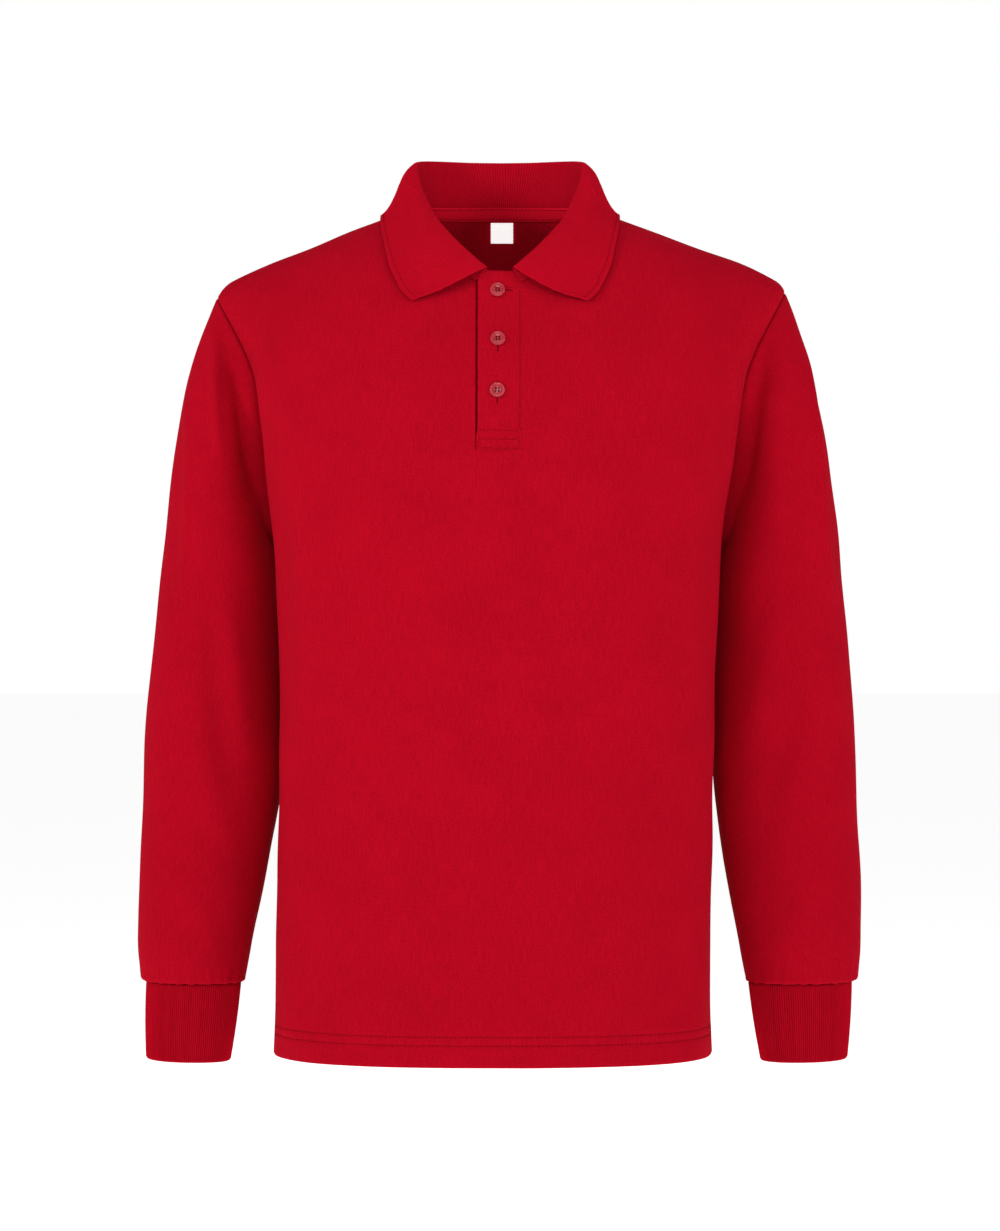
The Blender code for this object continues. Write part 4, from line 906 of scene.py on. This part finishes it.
def makeCuff(side):
    # The rib's height is a power of a raised cosine round the tube, less towards the edges, and the tube
    # swells by a half sine between them.
    count, high = cuffShape["ribs"] * cuffShape["ribSteps"], cuffShape["high"]
    angle = np.linspace(0, 2 * math.pi, 6001)
    down = np.array(cuffShape["rows"])
    sections = [tubeSection(side, cuffSizes["height"][0] - d, angle, cuffSizes) for d in down]
    outer = np.array([spaced(points, np.arange(count) / count) for points in sections]).transpose(1, 0, 2)
    turn = unit(np.roll(outer, -1, axis=0) - np.roll(outer, 1, axis=0))
    out = unit(np.cross(turn, np.array([0.0, 0, 1])))
    if (out[0, 0] @ (outer[0, 0] - outer[count // 2, 0])) < 0:
        out = -out
    phase = np.arange(count) / cuffShape["ribSteps"]
    uneven = 1 + 0.12 * np.sin(phase * 0.9) + 0.08 * np.sin(phase * 2.3 + 1)
    rib = (0.5 - 0.5 * np.cos(2 * np.pi * phase)) ** 0.8 * uneven
    edge = np.clip(down / 1.6, 0, 1) * np.clip((high - down) / 1.2, 0.15, 1)
    sag = cuffShape["sag"] * np.sin(np.pi * down / high)
    lowEnd, topEnd = np.clip(1 - (high - down) / 1.5, 0, 1) ** 2, np.clip(1 - down / 1.4, 0, 1) ** 2
    lift = cuffShape["ribHigh"] * (rib[:, None] - 1) * edge + sag - lowEnd - 0.6 * topEnd
    base = outer - (cuffShape["wall"] - sag - 0.4 * lowEnd)[None, :, None] * out
    face = outer + lift[..., None] * out
    if side == "right":
        face, base = face * mirror, base * mirror
    turn = np.arange(count + 1) / cuffShape["ribSteps"] * cuffShape["ribMap"]
    uv = np.stack(np.meshgrid(turn, down, indexing="ij"), axis=-1)
    # painted shadow: darker along the cuff's top, under the sleeve's roll that hangs over it
    shade = 1 - cuffShape["topShade"] * bell(down, 1.2)
    return wallMesh(f"cuff_{side}_rib", face, base, cuffKnit, f"cuff_{side}", closed=True, uv=uv, shade=shade)


cuffs = {side: makeCuff(side) for side in armholes}
print("cuffs")

# ---- placket: two strips in the slot, the upper one free on the wearer's right
strips = {
    "upper": {"sides": (-18.0, 17.44), "top": -63.5, "corners": (7.5, 2.0)},
    "under": {"sides": (-19.0, 12.5), "top": -65.5, "corners": (6.0, 3.0)},
    "wall": 1.3, "lift": 2.4, "foot": -213.94, "openFoot": -199.0, "widen": 1.44, "cornerLift": 2.2,
    "columns": (26, (0.012, 0.03, 0.05), (0.012, 0.03, 0.05)),
    "rows": (96, (0.004, 0.01), (0.003, 0.007, 0.015, 0.025)), "slotSag": 0.5, "underLow": 0.3, "underRise": 0.3,
    "stitchRows": (-197.6, -205.0, -212.6), "stitchColumn": 16.2, "stitchDips": (0.14, 0.06), "edgeDip": 0.55,
}
slotLines = front[slotColumn], front[slotEnd]


def slotSurface(x, z):
    # The front between the slot's two sides: each side's depth at this height, mixed by the place across.
    foot = neck["drop"] + 3.5
    low = np.minimum(z, foot)
    depth = [np.interp(low, line[slotRow - 2 :, 2], line[slotRow - 2 :, 1]) for line in slotLines]
    share = (x + body["slotRight"]) / (body["slotRight"] + body["slotLeft"])
    slope = neck["frontTilt"][1] / neck["frontTilt"][2]
    sag = strips["slotSag"] * np.sin(np.pi * np.clip(share, 0, 1))
    y = depth[0] * (1 - share) + depth[1] * share - sag + slope * (z - low)
    return np.stack([x, y, z], axis=-1)


def slotOut(x, z, step=0.5):
    # The way out of that surface, from its change over small steps.
    across = slotSurface(x + step, z) - slotSurface(x - step, z)
    up = slotSurface(x, z + step) - slotSurface(x, z - step)
    return unit(np.cross(across, up))


def stripGrid(values):
    # A flat strip with rounded top corners, and more rows and columns near its edges.
    (right, left), top = values["sides"], values["top"]
    s, t = graded(*strips["columns"]), graded(*strips["rows"])
    z = strips["foot"] + (top - strips["foot"]) * t[None, :] * np.ones((len(s), 1))
    near = [np.clip((z - (top - c)) / c, 0, 1) for c in values["corners"]]
    cut = [c * (1 - np.sqrt(np.maximum(1 - n**2, 0))) for c, n in zip(values["corners"], near)]
    return right + cut[0] + (left - cut[1] - right - cut[0]) * s[:, None], z


def makeUpperStrip(values):
    # Flush at its sewn side and foot; the free side rises towards the top and its corner stands forward.
    x, z = stripGrid(values)
    right, left = values["sides"]
    free = np.clip(1 - (x - right) / (left - right), 0, 1)
    loose = rising((z - strips["openFoot"]) / 1.2)
    wave = 0.16 * np.sin(z * 0.19) + 0.1 * np.sin(z * 0.53)
    x = x - strips["widen"] * free * (1 - loose) + wave * free**4 * loose
    base, out = slotSurface(x, z), slotOut(x, z)
    up = np.clip((z - strips["openFoot"]) / 40.0, 0, 1)
    high = strips["lift"] * free * loose * (0.35 + 0.65 * up**0.7)
    high = high - strips["edgeDip"] * (loose * bell(x - x[:1], 0.8) + bell(values["top"] - z, 0.8))
    high = high + (0.14 * np.sin(z * 0.31 + 0.8) + 0.09 * np.sin(z * 0.83)) * free * loose
    high = high + strips["cornerLift"] * bell(x - right, 8.0) * rising((z + 72.5) / 2.2)
    rows = sum(bell(z - row, 0.8) for row in strips["stitchRows"])
    rowDip, columnDip = strips["stitchDips"]
    high = high - rowDip * rows - columnDip * bell(x - strips["stitchColumn"], 0.8)
    outer = base + high[..., None] * out
    inner = outer - strips["wall"] * out
    # painted shade: a little darker along the stitch rows, where the strip dips
    piece = wallMesh("placket_upper_cloth", outer, inner, jersey, "placket_upper", shade=1 - 0.02 * rows)
    return piece, (x, z, outer, out)


def makeUnderStrip(values):
    # Behind the upper one, by its wall and a small gap that closes towards the foot.
    x, z = stripGrid(values)
    out = slotOut(x, z)
    low = strips["wall"] + strips["underLow"] - strips["underRise"] * np.clip((z + 214) / 20, 0, 1)
    outer = slotSurface(x, z) - low[..., None] * out
    return wallMesh("placket_under_cloth", outer, outer - strips["wall"] * out, jersey, "placket_under")


upperStrip, upperGrid = makeUpperStrip(strips["upper"])
underStrip = makeUnderStrip(strips["under"])
print("placket")

# ---- collar: up the stand, over the fold and down the fall, in fine ribs across its height
collarSizes = table(
    "seam_x seam_y seam_z fold_x fold_y fold_z edge_x edge_y edge_z",
    (20.3, -84.4, -73, 11.5, -88, -62.3, 73.2, -88.8, -88.6),
    (27.5, -81.4, -69.6, 22, -82, -53, 78.7, -85.2, -84.2),
    (36, -76.2, -64.9, 34, -70.5, -41, 84.6, -78.4, -76.1),
    (46.3, -67.4, -56.7, 45.5, -57, -28, 92, -66.6, -60.6),
    (55.2, -56.6, -46.8, 54.5, -42, -16, 95.5, -55.3, -46.5),
    (62.4, -44, -35.5, 61.5, -28, -2, 98.2, -42, -34),
    (67.7, -30.1, -23.4, 66.5, -16, 10, 100.2, -29.5, -24),
    (71, -15.3, -11.1, 70.3, -7, 21.5, 101.2, -15.5, -16),
    (72, 0, 0, 72.3, 4, 31, 100.6, 1, -10.6),
    (70.3, 15.2, 0.7, 72.8, 18, 36.8, 95.8, 18.2, -14),
    (62.4, 35, 1.8, 66.5, 39, 41, 82.5, 38, -16.5),
    (46.3, 53.6, 3.3, 50.5, 60, 43.5, 60.5, 62.5, -11.5),
    (24.6, 65.8, 4.5, 27, 73.5, 44.3, 32, 77.5, -8),
    (0, 70, 5, 0, 78, 44.5, 0, 82, -7),
)
collarShape = {
    "ribs": 140, "ribSteps": 4, "ribHigh": 0.22, "ribMap": 1.5, "wall": 1.7, "roll": 0.8, "stand": 7,
    "rollRows": 7, "fall": 22, "nearEdge": (0.008, 0.02, 0.035, 0.075, 0.095, 0.11), "bulge": 3.4,
    "sags": (2.6, 5.1), "sagWide": 24.0, "clear": 1.7, "rest": 0.6, "stripReach": 12.0, "evenedOver": 15,
    "band": 4.8, "bandHigh": 0.25, "bandSharp": 3.0, "bandGroove": 0.2, "edgeRound": 0.5, "endRound": 0.35,
    "jags": ((0.28, 2.6, 0.0), (0.18, 4.9, 1.0)), "jagFrom": 30, "shades": (0.08, 0.25, 0.2),
}


def collarGrid(neckEdge):
    # Columns from the seam up the stand, round the fold on a small arc, and down the fall, whose bulge is
    # t (1 - t)^3 with its greatest value at 1. Both halves come from the same three smooth lines.
    rows = len(collarSizes["seam_x"])
    count = collarShape["ribs"] * collarShape["ribSteps"]
    t = np.linspace(0, rows - 1, count + 1)
    lines = []
    for name in ("seam", "fold", "edge"):
        points = np.stack([collarSizes[f"{name}_{axis}"] for axis in "xyz"], axis=1)
        half = smooth(t, np.arange(rows), points)
        half = spaced(half, np.linspace(0, 1, count + 1)) if name == "seam" else half
        lines.append(np.vstack([half * mirror, half[-2::-1]]))
    seam, fold, edge = lines
    share, line = (distances(v) / distances(v)[-1] for v in (seam, neckEdge))
    seam = along3(share, line, neckEdge)
    rise, fall = unit(fold - seam), unit(edge - fold)
    side = unit(fall - dot(fall, rise) * rise)
    turn = np.arccos(np.clip(dot(rise, fall), -1, 1))
    top = fold - collarShape["roll"] * (rise + side)
    up = np.linspace(0, 1, collarShape["stand"] + 1)[:, None, None]
    parts = [seam + (top - seam) * up]
    a = turn * np.linspace(0, 1, collarShape["rollRows"] + 1)[1:, None, None]
    parts.append(top + collarShape["roll"] * (side * (1 - np.cos(a)) + rise * np.sin(a)))
    start = parts[-1][-1]
    drop = edge - start
    out = unit(np.cross(np.gradient(fold, axis=0), drop))
    t = graded(collarShape["fall"], far=collarShape["nearEdge"])[1:, None, None]
    fallen = start + drop * t + out * collarShape["bulge"] * 256 / 27 * t * (1 - t) ** 3
    # The front edges of the two leaves hang in a curve, which dies out along the collar.
    curve = (1 - (1 - t) ** 6) * (1 - t**3)
    far = distances(edge)
    for sign, sag, gone in zip((1, -1), collarShape["sags"], (far, far[-1] - far)):
        share = bell(gone, collarShape["sagWide"])[None, :, None]
        fallen = fallen + sag * curve * share * np.array([0.39 * sign, 0.0, -0.92])
    parts.append(fallen)
    return np.concatenate(parts).transpose(1, 0, 2), t.ravel()


def heightOver(points, surface, out):
    # How far each point stands over the nearest spot of a surface, the way out there, and its distance.
    flat = points.reshape(-1, 3)
    nearest = np.concatenate([
        np.argmin((surface**2).sum(1)[None] - 2 * part @ surface.T, axis=1) for part in np.array_split(flat, 24)
    ])
    away, ways = flat - surface[nearest], out[nearest]
    grid = points.shape[:2]
    return (away * ways).sum(1).reshape(grid), ways.reshape(points.shape), np.linalg.norm(away, axis=1).reshape(grid)


def evened(values):
    # A weighted mean over neighbouring columns.
    count = collarShape["evenedOver"]
    kernel = np.hanning(2 * count + 1)
    padded = np.pad(values, ((count, count), (0, 0)), mode="edge")
    return sum(weight * padded[k : k + len(values)] for k, weight in enumerate(kernel / kernel.sum()))


def laidOn(fall, t, nearBody, nearStrip):
    # The fall drops towards the body by a share that grows with the square of t, but never below the
    # clearance, and the wearer's left half also stays clear of the placket.
    high, ways, _ = heightOver(fall, *nearBody)
    need = collarShape["clear"] - high
    drop = evened(np.where(need < 0, need * collarShape["rest"] * t**2, need))
    fall = fall + np.maximum(need, drop)[..., None] * ways
    high, ways, away = heightOver(fall, *nearStrip)
    left = (np.arange(len(fall)) > len(fall) // 2)[:, None]
    need = np.where((away < collarShape["stripReach"]) & left, np.maximum(collarShape["clear"] - high, 0), 0)
    return fall + np.maximum(need, evened(need))[..., None] * ways


def flatPoints(grid):
    return grid.reshape(-1, 3)


neckEdge = np.vstack([
    front[seamCount - 1 : slotColumn + 1, -1][::-1], back[seamCount : len(back) - seamCount, -1],
    front[slotEnd : len(front) - seamCount + 1, -1][::-1],
])
collar, fallShare = collarGrid(neckEdge)
nearBody = [np.vstack([flatPoints(g[::2, -40:]) for g in pair]) for pair in ((front, back), (outFront, outBack))]
nearStrip = [flatPoints(g[::2, ::2]) for g in upperGrid[2:]]
fallStart = collarShape["stand"] + collarShape["rollRows"] + 1
collar[:, fallStart:] = laidOn(collar[:, fallStart:], fallShare, nearBody, nearStrip)
collarOut = normals(collar)
if collarOut[len(collar) // 2, -1, 1] < 0:
    collarOut = -collarOut

# Its face: a raised cosine for each rib, a smooth band along the edge, and rounded edges and ends.
across, along = gridLengths(collar)
phase = np.arange(len(collar)) / collarShape["ribSteps"]
rib = (0.5 - 0.5 * np.cos(2 * np.pi * phase))[:, None]
toEdge = along[:, -1:] - along
toBand = toEdge - collarShape["band"]
band = rising(-toBand * collarShape["bandSharp"])
ends = np.minimum(across, across[-1] - across)
ribHigh = collarShape["ribHigh"] * (1 - band) * np.clip(ends / 2.0, 0.2, 1)
lift = rib * ribHigh + collarShape["bandHigh"] * band - collarShape["bandGroove"] * bell(toBand, 0.6)
lift = lift - collarShape["edgeRound"] * bell(toEdge, 0.6) - collarShape["endRound"] * bell(ends, 0.7)
seated = np.clip((np.arange(collar.shape[1]) - 1) / 4, 0, 1)
faceGrid = collar + (collarShape["wall"] + lift * seated)[..., None] * collarOut
innerGrid = collar - (rib * ribHigh * seated * 0.8)[..., None] * collarOut
innerGrid[:, 0] = collar[:, 0]
jag = sum(far * np.sin(along[0] * turns + start) for far, turns, start in collarShape["jags"])
jagged = (jag * (along[0] > collarShape["jagFrom"]))[:, None]
endWay = unit(np.gradient(collar, axis=0))
for grid in (faceGrid, innerGrid):
    for end in (0, -1):
        grid[end] += jagged * endWay[end]
collarMap = np.stack([phase[:, None] * collarShape["ribMap"] + 0.9 * band, along], axis=-1)
# painted shade: darker in the groove inside the band, along the rolled edge and at the seam at the collar's foot
bandShade, edgeShade, seamShade = collarShape["shades"]
collarShade = 1 - bandShade * bell(toBand, 0.7) - edgeShade * bell(toEdge, 0.5)
collarShade = collarShade * (1 - seamShade * bell(along, 1.2))
collarPiece = wallMesh(
    "collar_rib_cloth", innerGrid, faceGrid, ribKnit, "collar", uv=collarMap, shade=collarShade
)
print("collar")


# ---- sewing: short strands laid on the cloth along each stitch line
bead = {  # one strand's four rings of four points, in its length and radius
    "steps": (-0.5, -0.3, 0.3, 0.5), "wide": (0.35, 1.0, 1.0, 0.35), "lift": (-0.6, 0.25, 0.25, -0.6),
    "across": 1.1, "high": 0.8,
}
sewing = {  # pitch, length and radius of the stitches
    "hem": (3.3, 1.7, 0.46), "placket": (2.9, 1.4, 0.40), "collar": (2.6, 1.4, 0.36), "tape": (3.0, 1.7, 0.48),
    "sink": 0.06, "raise": 0.35,
}


def strands(name, centre, way, out, length, radius, look, slotName="jersey"):
    # Each strand is a bead that lies along its way: four rings of four points, thinner and lower at the ends.
    way = unit(way)
    out = unit(out - dot(out, way) * way)
    centre, way, side, out = (v[:, None, None] for v in (centre, way, np.cross(way, out), out))
    steps, wide, lift = (np.array(bead[k])[None, :, None, None] for k in ("steps", "wide", "lift"))
    angles = (np.arange(4) * math.pi / 2 + math.pi / 4)[:, None]
    circle = np.cos(angles) * side * bead["across"] + np.sin(angles) * out * bead["high"]
    vertices = flatPoints(centre + steps * length * way + wide * radius * circle + lift * radius * out)
    k = np.arange(4)
    after = (k + 1) % 4
    quads = [np.stack([r + k, r + after, r + 4 + after, r + 4 + k], 1) for r in (0, 4, 8)]
    one = np.concatenate([*quads, [[3, 2, 1, 0]], [[12, 13, 14, 15]]])
    faces = (one[None] + np.arange(len(centre))[:, None, None] * 16).reshape(-1, 4)
    a, b, c, _ = vertices[one].transpose(1, 0, 2)
    if (np.cross(b - a, c - a) * (a - centre[0, 0])).sum() < 0:
        faces = faces[:, ::-1]
    return quadMesh(name, vertices, faces, look, None)


def stitchLine(points, out, pitch):
    # Evenly spaced stitch centres along a line, with the way along and the way out at each.
    length = distances(points)
    count = max(2, int(length[-1] / pitch))
    at = (np.arange(count) + 0.5) * length[-1] / count
    centre, way, outward = (along3(at, length, v) for v in (points, np.gradient(points, axis=0), out))
    return centre, way, unit(outward)


def sewn(name, lines, sizes, slotName="jersey"):
    pitch, length, radius = sewing[sizes]
    centre, way, out = (np.concatenate(v) for v in zip(*(stitchLine(*line, pitch) for line in lines)))
    centre = centre + out * (radius * sewing["raise"] - sewing["sink"])
    return strands(name, centre, way, out, length, radius, thread, slotName)


def hemLine(grid, out, dips, height):
    # The panel's outer face at this height, one point for each column, and the ways out there.
    outer = dipped(grid, dips, out)[0]
    return [
        np.array([along3(height, line[:30, 2], v[:30]) for line, v in zip(outer, values)]) for values in (outer, out)
    ]


hemSewing = sewn("hem_stitches", [
    hemLine(*panelValues, body["hem"] + h)
    for panelValues in ((front, outFront, dipFront), (back, outBack, dipBack)) for h in body["hemStitch"]
], "hem")


def stripPoint(x, z):
    # The upper strip's own outer face at this place, mixed from the four points of its grid around it.
    gx, gz, outer, out = upperGrid
    i = np.clip(np.searchsorted(gx[:, 10], x), 1, len(gx) - 1)
    j = np.clip(np.searchsorted(gz[0], z), 1, gz.shape[1] - 1)
    u = ((x - gx[i - 1, j]) / (gx[i, j] - gx[i - 1, j]))[:, None]
    v = ((z - gz[0, j - 1]) / (gz[0, j] - gz[0, j - 1]))[:, None]
    spot, way = (
        g[i - 1, j - 1] * (1 - u) * (1 - v) + g[i, j - 1] * u * (1 - v) + g[i - 1, j] * (1 - u) * v + g[i, j] * u * v
        for g in (outer, out)
    )
    return spot, unit(way)


def stripLine(points, steps=60):
    # Even steps along straight lines through these places on the strip.
    points = np.array(points, float)
    length = distances(points)
    at = np.linspace(0, length[-1], steps)
    return stripPoint(*(np.interp(at, length, points[:, k]) for k in (0, 1)))


placketSewing = sewn("placket_stitches", [
    stripLine([(16.2, -80), (16.4, -140), (16.1, -197)]),
    stripLine([(-17.2, -197.6), (15.4, -197.9)]),
    stripLine([
        (-17.4, -206), (-16.7, -204.8), (14.4, -205.4), (15.4, -206.4), (15.6, -211.4), (14.8, -212.7),
        (-16.6, -212.2), (-17.5, -210), (-17.4, -206),
    ]),
    stripLine([(4.6, -77.2), (9, -77.9), (16.2, -76.8)], 12),
], "placket")

# The collar's row lies just inside its band, and stops short of both ends.
bandColumn = np.argmin(np.abs(toBand - 0.1), axis=1)
bandLine, bandOut = (v[np.arange(len(collar)), bandColumn][8:-8] for v in (faceGrid, collarOut))
collarSewing = sewn("collar_band_stitches", [(bandLine, bandOut)], "collar", "rib")
print("sewing")

# ---- neck tape and label inside the back
insideSizes = {
    "tapeFrom": -1.3, "tapeHigh": 11.8, "tapeWall": 0.8, "tapeOff": 0.35, "tapeHalf": 62.0, "tapePuff": 0.35,
    "tapeWaves": ((0.16, 2.4, 0.0, 0.1), (0.12, 1.9, 1.0, 0.9)), "tapeRows": (0.12, 0.86),
    "label": (-8.0, 11.4, -7.0, -24.2), "labelWall": 0.5, "labelOff": (1.1, 1.5, 0.25),
}
neckColumns = back[seamCount - 1 : len(back) - seamCount + 1]
neckOut = outBack[seamCount - 1 : len(back) - seamCount + 1]
backInner = neckColumns - body["wall"] * neckOut


def insideLine(down):
    # Points at this distance below the neckline, on the back's inner face, one for each column.
    lines, ways = backInner[:, ::-1], neckOut[:, ::-1]
    points, out = (np.array([along3(down, distances(line), v) for line, v in zip(lines, g)]) for g in (lines, ways))
    return points, unit(out)


def makeTape():
    # The band below the neckline, swelling a little between its two stitch rows.
    s = graded(14, (0.02, 0.05), (0.02, 0.05))
    down = insideSizes["tapeFrom"] + insideSizes["tapeHigh"] * s
    low, way = insideLine(down)
    low[..., 2] += np.maximum(-down, 0)
    keep = np.abs(low[:, 0, 0]) < insideSizes["tapeHalf"]
    low, way = low[keep], way[keep]
    across = gridLengths(low)[0]
    puff = insideSizes["tapePuff"] * np.sin(np.pi * s)
    for high, turns, start, middle in insideSizes["tapeWaves"]:
        puff = puff + high * np.sin(across * turns + start) * bell(s - middle, 0.12)
    inner = low - insideSizes["tapeOff"] * way
    face = inner - (insideSizes["tapeWall"] + puff)[..., None] * way
    rows = [int(np.argmin(np.abs(s - share))) for share in insideSizes["tapeRows"]]
    piece = wallMesh("neck_tape_cloth", face, inner, tapeWeave, "neck_tape")
    return piece, sewn("tape_stitches", [(face[:, k], -way[:, k]) for k in rows], "tape", "tape")


tape, tapeSewing = makeTape()


def makeLabel():
    # A flat strip that hangs from under the tape, standing a little further off towards its free end.
    x0, x1, z0, z1 = insideSizes["label"]
    x, z = np.linspace(x0, x1, 21), np.linspace(z0, z1, 21)
    lines = backInner.transpose(1, 0, 2)[::-1]
    depth, high = (np.array([np.interp(x, row[:, 0], row[:, k]) for row in lines]) for k in (1, 2))
    y = np.array([np.interp(z, high[::-1, k], depth[::-1, k]) for k in range(len(x))])
    gx, gz = np.meshgrid(x, z, indexing="ij")
    t = (z0 - gz) / (z0 - z1)
    near, lean, wave = insideSizes["labelOff"]
    off = near + lean * t + wave * np.sin(gx * 0.5) * t
    gx = gx + 0.12 * np.sin(gz * 2.1) * (np.abs(gx - (x0 + x1) / 2) > 9.5)
    face = np.stack([gx, y - off, gz], axis=-1)
    back = face + np.array([0, insideSizes["labelWall"], 0])
    return wallMesh("neck_label_cloth", face, back, satin, "neck_label")


label = makeLabel()
print("tape and label")

# ---- buttons: fine turned discs with a raised rim and four holes, thread through them, and buttonholes
buttons = {
    "places": {"button_top": (-2.0, -80.5), "button_middle": (-1.8, -122.0), "button_low": (-2.2, -165.0)},
    "radius": 6.25, "cells": 64, "hole": 0.86, "spread": 1.22, "off": 0.3, "thread": (1.3, 2.8, 0.34),
    "profile": table(
        "r low high", (0.0, 0.0, 1.30), (2.6, 0.0, 1.34), (3.6, 0.0, 1.52), (4.5, 0.0, 1.82), (5.2, 0.04, 1.94),
        (5.7, 0.14, 1.86), (6.0, 0.34, 1.64), (6.18, 0.66, 1.36), (6.25, 1.00, 1.06),
    ),
}


def buttonFrame(name):
    # The spot of the strip below the button's middle, and the ways out, across and up there.
    x, z = (np.array([v]) for v in buttons["places"][name])
    spot, out = stripPoint(x, z)
    out = out[0]
    side = unit(np.cross(np.array([0.0, 0, 1]), out))
    return spot[0] + buttons["off"] * out, out, side, np.cross(out, side)


def makeButton(name):
    # A square grid drawn in to a disc: each square ring becomes a circle. Top and bottom follow the profile.
    line = np.linspace(-1, 1, buttons["cells"] + 1)
    a, b = np.meshgrid(line, line, indexing="ij")
    r = np.maximum(np.abs(a), np.abs(b))
    length = np.maximum(np.hypot(a, b), 1e-9)
    u, v = (buttons["radius"] * r**0.8 * w / length for w in (a, b))
    profile = buttons["profile"]
    place, out, side, up = buttonFrame(name)
    flat = place + u[..., None] * side + v[..., None] * up
    top, low = (flat + smooth(np.hypot(u, v), profile["r"], profile[k])[..., None] * out for k in ("high", "low"))
    toHole = [np.abs(w[1:, 1:] + w[:-1, :-1]) / 2 - buttons["spread"] for w in (u, v)]
    keep = np.hypot(*toHole) > buttons["hole"]
    return wallMesh(name + "_resin", top, low, resin, name, keep=keep)


for name in buttons["places"]:
    makeButton(name)
threadHigh, threadLength, threadRadius = buttons["thread"]
threads = [
    (place + sign * buttons["spread"] * side + out * threadHigh, up, out)
    for place, out, side, up in map(buttonFrame, buttons["places"]) for sign in (-1, 1)
]
# The thread in the buttons' holes is real, but takes the near-black painted-shade look of the shaded holes.
strands("button_thread", *(np.array(v) for v in zip(*threads)), threadLength, threadRadius, slit, "button")
holeSizes = {  # place, length, and whether it lies level
    "buttonhole_top": (5.4, -80.3, 8.5, True), "buttonhole_middle": (-1.8, -127.5, 10.5, False),
    "buttonhole_low": (-2.2, -170.5, 10.5, False),
}
holeShape = {"stitches": 15, "edge": 0.55, "bar": 0.3, "stitch": (0.85, 0.17), "wide": 0.45, "cut": (0.09, 0.2)}


def makeHole(name, x, z, length, level):
    # A slit edged by close short stitches that stand square to it, with one more at each end.
    def spots(far, wide):
        return stripPoint(x + (far if level else wide), z + (wide if level else far))

    at = (np.arange(holeShape["stitches"]) / (holeShape["stitches"] - 1) - 0.5) * length
    end = np.array([length / 2 + holeShape["bar"]])
    rows = [spots(at, edge + 0 * at) for edge in (-holeShape["edge"], holeShape["edge"])]
    rows += [spots(far, 0 * far) for far in (-end, end)]
    centre, out = (np.concatenate(v) for v in zip(*rows))
    way = np.tile(np.array([0.0, 0, 1] if level else [1.0, 0, 0]), (len(centre), 1))
    strands(name + "_edging", centre + out * 0.02, way, out, *holeShape["stitch"], thread)
    u, v = np.meshgrid(np.linspace(-0.5, 0.5, 9), np.linspace(-0.5, 0.5, 3), indexing="ij")
    base, way = (w.reshape(9, 3, 3) for w in spots(u.ravel() * length, v.ravel() * holeShape["wide"]))
    over, under = holeShape["cut"]
    # painted shade: a dark sheet over the strip, where the buttonhole's cut shows only shade
    wallMesh(name + "_slit", base + over * way, base - under * way, slit, None)


for name, sizes in holeSizes.items():
    makeHole(name, *sizes)
print("buttons")


# ---- floor
def makeFloor():
    # One wide square, lit from within a little so that it stays as pale as the backdrop.
    look, tree, shader = startLook("pale_floor", shot["floorColour"], 0.9)
    shader.inputs["Emission Color"].default_value = shot["white"]
    shader.inputs["Emission Strength"].default_value = shot["floorGlow"]
    half = shot["floorWide"] / 2
    corners = [(x * half, y * half, shot["floor"]) for x, y in ((-1, -1), (1, -1), (1, 1), (-1, 1))]
    mesh = bpy.data.meshes.new("floor")
    mesh.from_pydata(corners, [], [(0, 1, 2, 3)])
    mesh.materials.append(look)
    thing = bpy.data.objects.new("floor", mesh)
    bpy.context.scene.collection.objects.link(thing)


makeFloor()

for piece in (
    frontCloth, backCloth, *sleeveCloths.values(), *cuffs.values(), upperStrip, underStrip, collarPiece, tape, label
):
    print(piece.name, "area", round(area(piece), 4), "triangles", 2 * len(piece.data.polygons))
